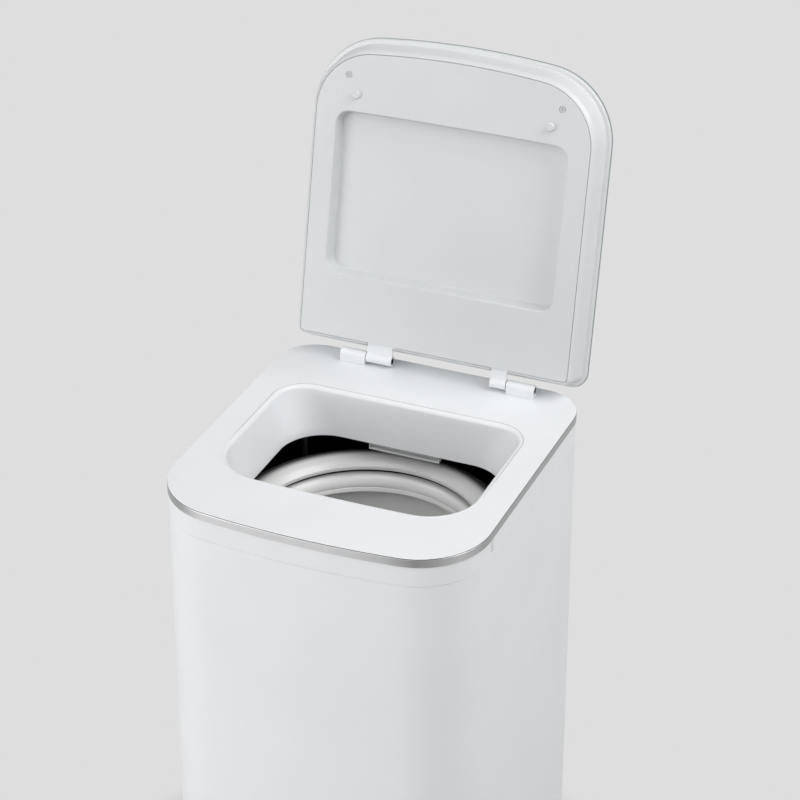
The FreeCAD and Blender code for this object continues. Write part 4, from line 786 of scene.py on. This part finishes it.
def softened(node, width):
    """A CAD node's own shape with its loose triangles merged and its sharp edges rounded to a width."""
    shape = bmesh.new()
    shape.from_mesh(frame["nodes"][node].data)
    bmesh.ops.remove_doubles(shape, verts=shape.verts, dist=MERGE)
    bmesh.ops.dissolve_limit(shape, angle_limit=math.radians(FLAT), verts=shape.verts, edges=shape.edges)
    shape.verts.index_update()
    points = [vertex.co[:] for vertex in shape.verts]
    faces = [[vertex.index for vertex in face.verts] for face in shape.faces]
    shape.free()
    mesh = bpy.data.meshes.new(node + "_eased")
    mesh.from_pydata(points, [], faces)
    slot = SLOTS[node]
    mesh.materials.append(FINISHES[slot])
    smooth(mesh, EASE_ANGLE)
    thing = placed(node + "_eased", mesh)
    ease = thing.modifiers.new("ease", "BEVEL")
    ease.width = width
    ease.segments = EASE_SEGMENTS
    ease.limit_method = "ANGLE"
    ease.angle_limit = math.radians(EASE_ANGLE)
    ease.harden_normals = True
    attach(thing, BODIES[node])
    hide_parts(node)


def cabinet_shell():
    """Folded sheet wrap: a thin upright wall, coated white outside, and near-black inside as painted shade.
    """
    inner = SHELL_INSET + SHELL_WALL
    profile = rounded((SHELL_INSET, SHELL_BOTTOM), (SHELL_INSET, SEAM), (inner, SEAM), (inner, SHELL_BOTTOM))
    piece("shell_wrap", "cabinet", "white_coated_steel", ["cabinet_shell"], [around(profile, BODY)],
          ["white_coated_steel", "dark_primer"], inner_strips(profile, inner - EDGE_ROUND - TINY))


def top_collar():
    """Moulded ring between the seam groove and the trim, with a lip that plugs into the shell."""
    inner = COLLAR_INSET + COLLAR_WALL
    lip = LIP_INSET + LIP_WALL
    groove = SEAM + SEAM_GROOVE
    groove_floor = COLLAR_INSET + GROOVE_DEPTH
    profile = rounded(
        (COLLAR_INSET, groove), (COLLAR_INSET, TRIM_BOTTOM), (inner, TRIM_BOTTOM),
        (inner, SEAM + COLLAR_WALL), (lip, SEAM + COLLAR_WALL), (lip, SHELF_BOTTOM),
        (LIP_INSET, SHELF_BOTTOM), (LIP_INSET, SEAM, GROOVE_ROUND), (groove_floor, SEAM, GROOVE_ROUND),
        (groove_floor, groove, GROOVE_ROUND))
    # Painted shade: the collar's inner faces are near-black dark_primer
    ring = piece("top_ring", "cabinet", "white_moulding", ["top_collar"], [around(profile, BODY)],
                 ["white_moulding", "dark_primer"], inner_strips(profile, inner - EDGE_ROUND))
    side = BODY_HALF - COLLAR_INSET
    carve(ring, [prism(cap_loop(-CAP_GAP), 0, x - CAP_BASE, x + CAP_BASE) for x in (side, -side)])


def cap_loop(inset):
    """Outline of a screw cap on the collar's side, moved in by an inset, as points (y, z)."""
    low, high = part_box("screw_cap_right")
    centre = ((low.y + high.y) / 2, (low.z + high.z) / 2)
    return stadium(CAP_HALF_Y - inset, CAP_HALF_Z - inset, CAP_HALF_Y - inset - TINY, centre)


def screw_caps():
    """Long round-ended caps: flat faces with a rounded edge, closed behind."""
    edge = quarter((0, 0), (0, CAP_PROUD), (CAP_PROUD, CAP_PROUD))
    rows = np.concatenate([[(0, -CAP_BASE)], edge, [(2 * CAP_PROUD, CAP_PROUD)]])
    loops = np.stack([cap_loop(inset) for inset in rows[:, 0]])
    for side, node in ((1, "screw_cap_right"), (-1, "screw_cap_left")):
        x = (side * (BODY_HALF - COLLAR_INSET + rows[:, 1]))[:, None, None]
        grid = np.concatenate([np.broadcast_to(x, (*loops.shape[:2], 1)), loops], 2)
        middle = grid.mean(1)
        piece(node + "_plug", "cabinet", "white_moulding", [node], [capped(grid, middle[0], middle[-1])],
              ["cap_white"])


def corner_shelves():
    """Plate in the collar's lip, cut away to four corners, each with the hole of its suspension rod."""
    top = SHELF_BOTTOM + SHELF_THICKNESS
    inset = LIP_INSET + LIP_WALL / 2
    edge = around(np.array([(inset, SHELF_BOTTOM), (inset, top)]), BODY)
    middle_y = (BODY_FRONT + BODY_BACK) / 2
    plate = capped(edge, (0, middle_y, SHELF_BOTTOM), (0, middle_y, top))
    # Painted shade: the shelves inside the cabinet are near-black dark_primer
    shelf = piece("corner_shelves", "cabinet", "white_moulding", [], [plate], ["dark_primer"])
    diamond = SHELF_REACH * np.array([(1, 0), (0, 1), (-1, 0), (0, -1)])
    holes = [stadium(ROD_HOLE, ROD_HOLE, ROD_HOLE - TINY, (x, y))
             for x in (-ROD_OFFSET, ROD_OFFSET) for y in (-ROD_OFFSET, ROD_OFFSET)]
    carve(shelf, [prism(loop, 2, SHELF_BOTTOM - HOLD, top + HOLD) for loop in (diamond, *holes)])


def trim_band():
    """Brushed band with eased edges, with painted shade on top where the deck's edge stands over it."""
    profile = rounded(
        (0, TRIM_BOTTOM), (0, TRIM_TOP, 2 * EDGE_ROUND), (TRIM_WALL, TRIM_TOP), (TRIM_WALL, TRIM_BOTTOM))
    piece("silver_band", "cabinet", "brushed_trim", ["trim_band"], [around(profile, BODY)],
          ["brushed_trim", "gap_shadow"], inner_strips(profile, EDGE_ROUND))


def deck():
    """Top cover as one ring: rounded edge, flat deck, rounded brim, funnel, throat lip and underside.

    A row is (share, inset, height): share -1 is the cabinet's outline, 0 the mouth and 1 the throat.
    """
    under = DECK - DECK_WALL
    throat = DECK - THROAT_DROP
    skirt = TRIM_WALL + LIP_INSET - SHELL_INSET - SHELL_WALL
    shadow = DECK_INSET + SHADOW_DEPTH
    edge = quarter((-1, DECK_INSET, DECK - DECK_EDGE_ROUND), (-1, DECK_INSET, DECK),
                   (-1, DECK_INSET + DECK_EDGE_ROUND, DECK))
    tangent = MOUTH_ROUND * math.tan(FUNNEL_SLOPE / 2)
    lean = np.linspace(0, FUNNEL_SLOPE, ROUND_STEPS + 1)
    brim = np.stack([0 * lean, MOUTH_ROUND * np.sin(lean) - tangent,
                     DECK - MOUTH_ROUND * (1 - np.cos(lean))], 1)
    foot = np.array([1, 0, throat])
    slope = brim[-1] + (foot - brim[-1]) * np.linspace(0, 1 - THROAT_TURN, FUNNEL_ROWS)[1:, None]
    wall_end = np.array([1, 0, throat - THROAT_DROP * THROAT_TURN])
    share = np.linspace(0, 1, ROUND_STEPS + 1)[1:, None]
    turn_down = (1 - share) ** 2 * slope[-1] + 2 * share * (1 - share) * foot + share ** 2 * wall_end
    crease = brim[0, 1] - CREASE * np.arange(5)[::-1]
    groove = np.stack([0 * crease, crease, DECK - CREASE * np.array([0, 0, 1, 1, 0])], 1)
    hold = [(-1, edge[-1, 1] + HOLD, DECK), (0, crease[0] - HOLD, DECK)]
    lip = [(1, 0, THROAT_END + 2 * EDGE_ROUND), (1, 0, THROAT_END + EDGE_ROUND),
           (1, -EDGE_ROUND, THROAT_END), (1, -FUNNEL_WALL, THROAT_END), (1, -FUNNEL_WALL, throat),
           (0, -FUNNEL_WALL, under)]
    back = [(-1, skirt + DECK_WALL, under), (-1, skirt + DECK_WALL, TRIM_BOTTOM), (-1, skirt, TRIM_BOTTOM),
            (-1, skirt, TRIM_TOP), (-1, shadow, TRIM_TOP), (-1, shadow, TRIM_TOP + SHADOW_GAP),
            (-1, DECK_INSET, TRIM_TOP + SHADOW_GAP)]
    rows = np.concatenate([edge, hold, groove, brim, slope, turn_down, lip, back])
    finish = np.zeros(len(rows), int)
    groove_start = len(edge) + len(hold)
    # Painted shade in the crease round the mouth
    finish[groove_start + 1:groove_start + len(groove) - 1] = 1
    # Painted shade in the shadow gap over the trim
    finish[-4:-1] = 2
    part, inset, height = rows.T
    share = np.maximum(part, 0)
    funnel = {key: MOUTH[key] + (THROAT[key] - MOUTH[key]) * share for key in MOUTH}
    loops = np.where((part < 0)[:, None, None], outline(inset, **BODY), outline(inset, **funnel))
    piece("deck_cover", "cabinet", "white_moulding", ["deck"], [lifted(loops, height)],
          ["white_moulding", "line_grey", "gap_shadow"], finish)


def lid_glass():
    """Flat glass plate with ground edges, its underside coated white.

    The rows are the two corners at its edge, and each face closes to a point in the middle.
    """
    middle_x = LID["half"] / 2
    middle_y = HINGE_Y - LID_REACH / 2
    profile = rounded(
        (0, GLASS_BOTTOM), (0, GLASS_TOP, GLASS_ROUND), (middle_x, GLASS_TOP), (middle_x, GLASS_BOTTOM))
    rows = profile[:len(profile) // 2]
    grid = capped(around(rows, LID), (0, middle_y, GLASS_BOTTOM), (0, middle_y, GLASS_TOP))
    finish = [2, *[1] * (len(rows) - 1), 0]
    piece("glass_plate", "lid", "lid_glass", ["lid_glass"], [opened(grid)],
          ["lid_glass", "glass_edge", "back_coat"], finish)


def lid_bezel():
    """Frame under the glass: a bead, a step and a wall that rounds in towards the inner panel."""
    bead_bottom = GLASS_BOTTOM - BEAD_HEIGHT
    step = bead_bottom - STEP_HEIGHT
    knee = LID_BOTTOM + KNEE_HEIGHT
    profile = rounded(
        (BEAD_INSET, GLASS_BOTTOM), (BEAD_INSET, bead_bottom, BEAD_ROUND), (STEP_INSET, step, STEP_ROUND),
        (KNEE_INSET, knee, KNEE_ROUND), (TOE_INSET, LID_BOTTOM + TOE_HEIGHT, TOE_ROUND),
        (PANEL_INSET, LID_BOTTOM), (PANEL_INSET, LID_BOTTOM + BEZEL_WALL),
        (KNEE_INSET + BEZEL_WALL, knee, KNEE_INNER_ROUND),
        (STEP_INSET + BEZEL_WALL, step - BEZEL_WALL, STEP_INNER_ROUND),
        (BEAD_INSET + BEZEL_FLANGE, GLASS_BOTTOM))
    bezel = piece("lid_frame", "lid", "white_moulding", ["lid_bezel"], [opened(around(profile, LID))],
                  ["lid_white"])
    arms = [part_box(arm) for arm in ("lid_arm_left", "lid_arm_right")]
    carve(bezel, [lid_block(low.x - NOTCH_GAP, high.x + NOTCH_GAP, 0, ARM_REACH,
                            LID_BOTTOM - NOTCH_GAP, ARM_TOP) for low, high in arms])


def lid_screws():
    """Sunk screw heads with a rounded rim, a dark disc in the middle as painted shade, and a cross recess.
    """
    face = LID_BOTTOM + SCREW_SUNK
    rim = quarter((SCREW_HEAD - CROSS_DEPTH, face), (SCREW_HEAD, face), (SCREW_HEAD, face + CROSS_DEPTH))
    profile = np.concatenate([[(SCREW_SHADE_RADIUS, face)], rim, [(SCREW_HEAD, face + SCREW_DEPTH)]])
    heads = piece("lid_screw_heads", "lid", SLOTS["lid_screws"], ["lid_screws"],
                  lid_pair(profile, SCREW_X, SCREW_REACH), ["screw_white", "screw_socket"],
                  np.arange(len(profile) + 1) == 0)
    long, wide = CROSS_LENGTH / 2, CROSS_WIDTH / 2
    arms = [(x, a, b) for x in (-SCREW_X, SCREW_X) for a, b in ((long, wide), (wide, long))]
    carve(heads, [lid_block(x - a, x + a, SCREW_REACH - b, SCREW_REACH + b, LID_BOTTOM - HOLD,
                            face + CROSS_DEPTH) for x, a, b in arms])


def lid_pads():
    """Soft pads: short round studs with a rounded face."""
    bottom = LID_BOTTOM - PAD_HEIGHT
    edge = quarter((PAD_RADIUS - PAD_EDGE, bottom), (PAD_RADIUS, bottom), (PAD_RADIUS, bottom + PAD_EDGE))
    profile = np.concatenate([[(PAD_RADIUS / 3, bottom)], edge, [(PAD_RADIUS, LID_BOTTOM)]])
    piece("lid_pads", "lid", "pale_rubber", ["lid_bumpers"], lid_pair(profile, PAD_X, PAD_REACH))


def pin_rings():
    """Dark bush round the pin at the open end of each lid arm and a paler one at the right base."""
    ends = (("left_pin_bush", "lid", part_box("lid_arm_left")[1].x, 1, "dark_moulding"),
            ("right_pin_bush", "lid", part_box("lid_arm_right")[0].x, -1, "dark_moulding"),
            ("base_pin_bush", "cabinet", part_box("hinge_base_right")[1].x, 1, "bush_grey"))
    profile = np.array([(PIN_RING, -PIN_PROUD), (PIN_RING, PIN_PROUD)])
    disc = capped(turned(profile, LID_TURN_STEPS), (0, 0, -PIN_PROUD), (0, 0, PIN_PROUD))
    for name, body, end, side, finish in ends:
        along = end + side * (disc[..., 2] - PIN_PROUD + TINY)
        grid = np.stack([along, HINGE_Y + disc[..., 0], HINGE_Z + disc[..., 1]], -1)
        piece(name, body, "dark_moulding", [], [grid], [finish])


def lid_inner_panel():
    """Inner face of the lid as one plate: border, rounded brim, sloping recess, recess floor and back.

    A row is (outline, inset, height): outline 0 is the lid's and 1 is the recess's.
    """
    inset = PANEL_INSET + PANEL_GAP
    top = LID_BOTTOM + PANEL_WALL
    floor = LID_BOTTOM + WINDOW_DEPTH
    back = floor + WINDOW_WALL
    foot = WINDOW_DRAFT - FLOOR_ROUND * WINDOW_DRAFT / (WINDOW_DEPTH - WINDOW_ROUND)
    outside = [(1, WINDOW_DRAFT, back), (1, WINDOW_DRAFT - WINDOW_WALL, back), (1, -WINDOW_WALL, top)]
    border = [(0, inset + EDGE_ROUND, top), (0, inset, top - EDGE_ROUND),
              (0, inset, LID_BOTTOM + EDGE_ROUND), (0, inset + EDGE_ROUND, LID_BOTTOM),
              (0, inset + 2 * EDGE_ROUND, LID_BOTTOM), (1, -WINDOW_ROUND - HOLD, LID_BOTTOM)]
    brim = quarter((1, -WINDOW_ROUND, LID_BOTTOM), (1, 0, LID_BOTTOM), (1, 0, LID_BOTTOM + WINDOW_ROUND))
    field = quarter((1, foot, floor - FLOOR_ROUND), (1, foot, floor), (1, foot + FLOOR_ROUND, floor))
    hold = [(1, field[-1, 1] + HOLD, floor)]
    rows = np.concatenate([outside, border, brim, field, hold])
    recessed = rows[:, 0] > 0
    loops = np.where(recessed[:, None, None], outline(np.where(recessed, rows[:, 1], 0), **WINDOW),
                     outline(rows[:, 1], **LID))
    middle_y = (WINDOW["front"] + WINDOW["back"]) / 2
    grid = capped(lifted(loops, rows[:, 2]), (0, middle_y, back), (0, middle_y, floor))
    face = piece("lid_inner_face", "lid", "white_moulding", ["lid_inner_panel"], [opened(grid)],
                 ["lid_panel_white"])
    well = np.array([(SCREW_WELL, LID_BOTTOM - HOLD), (SCREW_WELL, LID_BOTTOM + SCREW_DEPTH)])
    carve(face, lid_pair(well, SCREW_X, SCREW_REACH))


def tub_ring():
    """Splash ring turned about the drum's axis: domed crest, round shoulder, turned-down lip and skirt."""
    middle = (RING_OUTER + RING_INNER) / 2
    lip_end = RING_LIP_TOP - RING_LIP
    shoulder_points = RING_ROUND * np.array(RING_SHOULDER_ARC) + (RING_OUTER, RING_SHOULDER)
    lip_points = np.array(RING_LIP_ARC) + (RING_INNER, RING_LIP_TOP)
    shoulder = arc_through(*shoulder_points, ROUND_STEPS)
    crest = arc_through(shoulder[-1], (middle, RING_CREST), lip_points[0], RING_CREST_STEPS)
    lip = arc_through(*lip_points, ROUND_STEPS)
    inside = [(RING_INNER, lip_end + EDGE_ROUND), (RING_INNER + EDGE_ROUND, lip_end),
              (RING_INNER + RING_WALL, lip_end), (RING_INNER + RING_WALL, RING_LIP_TOP - RING_WALL / 2),
              (middle, RING_CREST - RING_WALL), (TUB_INSIDE, TUB_TOP)]
    skirt = [(RING_INSIDE, TUB_TOP), (RING_INSIDE, RING_END),
             (RING_OUTER - EDGE_ROUND, RING_END), (RING_OUTER, RING_END + EDGE_ROUND)]
    profile = np.concatenate([shoulder, crest[1:], lip[1:], inside, skirt])
    piece("splash_ring", "tub", SLOTS["tub_ring"], ["tub_ring"], [turned(profile)], ["ring_moulding"])


def balance_ring():
    """Ring on the drum: domed inside, with a crease above its lip and a skirt round the drum."""
    lip = [(RIM_LIP, RIM_LIP_END + EDGE_ROUND), (RIM_LIP, RIM_LIP_TOP - RIM_CREASE),
           (RIM_LIP + EDGE_ROUND, RIM_LIP_TOP), (RIM_LIP + RIM_CREASE, RIM_LIP_TOP),
           (RIM_LIP + RIM_CREASE, RIM_LIP_TOP + RIM_CREASE)]
    dome = arc_through((RIM_LIP + EDGE_ROUND, RIM_DOME_START), RIM_DOME,
                       (RIM_SHOULDER, RIM_TOP), RIM_DOME_STEPS)
    edge = quarter((RIM_OUTER - RIM_ROUND, RIM_TOP), (RIM_OUTER, RIM_TOP), (RIM_OUTER, RIM_TOP - RIM_ROUND))
    outer = DRUM_OUTER + LAP_CLEARANCE
    plug = DRUM_OUTER - DRUM_WALL - LAP_CLEARANCE
    skirt = [(RIM_OUTER, RIM_END), (outer, RIM_END), (outer, DRUM_TOP),
             (plug, DRUM_TOP), (plug, DRUM_TOP - DRUM_PLUG), (RIM_LIP + EDGE_ROUND, RIM_LIP_END)]
    profile = np.concatenate([lip, dome, edge, skirt])
    # Painted shade: near-black dark_primer on the outer top, seen through the gap under the tub ring
    painted_shade_strips = (profile[:, 0] > RIM_SHOULDER - EDGE_ROUND) & (profile[:, 1] > DRUM_TOP + DRUM_PLUG)
    piece("balance_rim", "drum", SLOTS["balance_ring"], ["balance_ring"], [turned(profile)],
          ["rim_moulding", "dark_primer"], painted_shade_strips)


def drum_wall():
    """Thin round wall of the drum, with eased edges."""
    inner = DRUM_OUTER - DRUM_WALL
    profile = rounded(
        (inner, DRUM_TOP), (inner, DRUM_BOTTOM), (DRUM_OUTER, DRUM_BOTTOM), (DRUM_OUTER, DRUM_TOP))
    piece("drum_sheet", "drum", "stainless", ["drum_wall"], [turned(profile)], ["drum_steel"])


def pulsator():
    """Wash plate: height over radius and turn is a bell with a hub, raised to rounded radial ridges."""
    radius = np.linspace(PLATE_BORE, PLATE_RADIUS - PLATE_EDGE, PLATE_ROWS)[:, None]
    turn = np.linspace(0, 2 * math.pi, PLATE_STEPS, endpoint=False)
    inwards = np.clip((PLATE_RADIUS - radius) / (PLATE_RADIUS - PLATE_HUB), 0, 1)
    crown = PLATE_TOP - PLATE_BOTTOM - PLATE_RIM - PLATE_BELL
    bell = PLATE_RIM + PLATE_BELL * inwards ** PLATE_BELL_POWER
    bell = bell + crown * soft_step((PLATE_HUB - radius) / (PLATE_HUB / 2))
    pitch = 2 * math.pi / RIDGE_COUNT
    aside = np.abs(radius * np.sin((turn + pitch / 2) % pitch - pitch / 2))
    flank = soft_step((RIDGE_HALF_FOOT - aside) / (RIDGE_HALF_FOOT - RIDGE_HALF_TIP))
    ending = soft_step((RIDGE_END - radius) / RIDGE_RUNOUT)
    crest = RIDGE_CREST - RIDGE_FALL * radius / RIDGE_END
    height = bell + np.maximum(crest - bell, 0) * flank * ending
    top = np.stack([radius * np.cos(turn), radius * np.sin(turn), PLATE_BOTTOM + height], -1)
    rim = turned(np.array([(PLATE_RADIUS, PLATE_BOTTOM + PLATE_RIM - PLATE_EDGE_DROP),
                           (PLATE_RADIUS, PLATE_BOTTOM), (PLATE_BORE, PLATE_BOTTOM)]), PLATE_STEPS)
    piece("wash_plate", "pulsator", SLOTS["pulsator"], ["pulsator"], [np.concatenate([top, rim])])


def backdrop_rays(place):
    """1 where a camera, mirror or glass ray looks at the backdrop."""
    seen = [place.node("LightPath", {}, ray)
            for ray in ("Is Camera Ray", "Is Glossy Ray", "Is Transmission Ray")]
    return seen[0].math("MAXIMUM", seen[0].math("MAXIMUM", seen[0], seen[1]), seen[2])


def floor_paper(place):
    """Pale paper: it keeps the shadow near the machine and reads as the backdrop's grey further off."""
    far = between(length(place), *SHADOW_RADII)
    tone = blend(noise(place, 120.0), *FLOOR_TONES)
    paper = place.node("BsdfPrincipled", {"Base Color": tone, "Roughness": 0.9})
    glow = place.node("Emission", {"Color": linear(*BACKDROP)})
    mixed = place.node("MixShader", {0: far * backdrop_rays(place), 1: paper, 2: glow})
    place.node("OutputMaterial", {"Surface": mixed})


def studio_floor():
    """Flat floor under the feet."""
    mesh = bpy.data.meshes.new("floor")
    corners = np.array([(-1, -1, 0), (1, -1, 0), (1, 1, 0), (-1, 1, 0)]) * FLOOR_HALF
    mesh.from_pydata(corners.tolist(), [], [(0, 1, 2, 3)])
    mesh.materials.append(new_finish("studio_floor", floor_paper))
    thing = placed("floor", mesh)


def studio_world():
    """Even light from all round, seen as the backdrop's grey."""
    world = bpy.data.worlds.new("studio")
    world.use_nodes = True
    world.node_tree.nodes.clear()
    light = Wire(world.node_tree, None).node("Background", {"Color": (1, 1, 1, 1), "Strength": WORLD_LEVEL})
    grey = light.node("Background", {"Color": linear(*BACKDROP)})
    mixed = light.node("MixShader", {0: backdrop_rays(light), 1: light, 2: grey})
    light.node("OutputWorld", {"Surface": mixed})
    bpy.context.scene.world = world


def softbox(name, place, target, size, watts):
    """Square lamp that faces a target."""
    lamp = bpy.data.lights.new(name, "AREA")
    lamp.shape = "SQUARE"
    lamp.size = size
    lamp.energy = watts
    thing = placed(name, lamp)
    away = np.array(place, float) - np.array(target, float)
    thing.location = place
    thing.rotation_euler = (math.acos(away[2] / np.linalg.norm(away)), 0, math.atan2(away[0], -away[1]))


def camera():
    """Long lens from the front right, looking down on the deck."""
    lens = bpy.data.cameras.new("camera")
    lens.lens = CAMERA_LENS
    lens.shift_y = CAMERA_SHIFT
    thing = placed("camera", lens)
    thing.location = CAMERA_PLACE
    thing.rotation_euler = (math.pi / 2 - CAMERA_PITCH, 0, CAMERA_YAW)
    bpy.context.scene.camera = thing


cabinet_shell()
top_collar()
screw_caps()
corner_shelves()
trim_band()
deck()
lid_glass()
lid_bezel()
lid_inner_panel()
lid_screws()
lid_pads()
pin_rings()
tub_ring()
balance_ring()
drum_wall()
pulsator()
for width, *nodes in EASED:
    for node in nodes:
        softened(node, width)

# Every CAD node that stays gets the finish of its material slot
for node, slot in SLOTS.items():
    for place in frame["nodes"][node].material_slots:
        place.material = FINISHES[slot]

studio_floor()
studio_world()
for name, lamp in LAMPS.items():
    softbox(name, *lamp)
camera()
bpy.context.scene.view_settings.view_transform = "Standard"
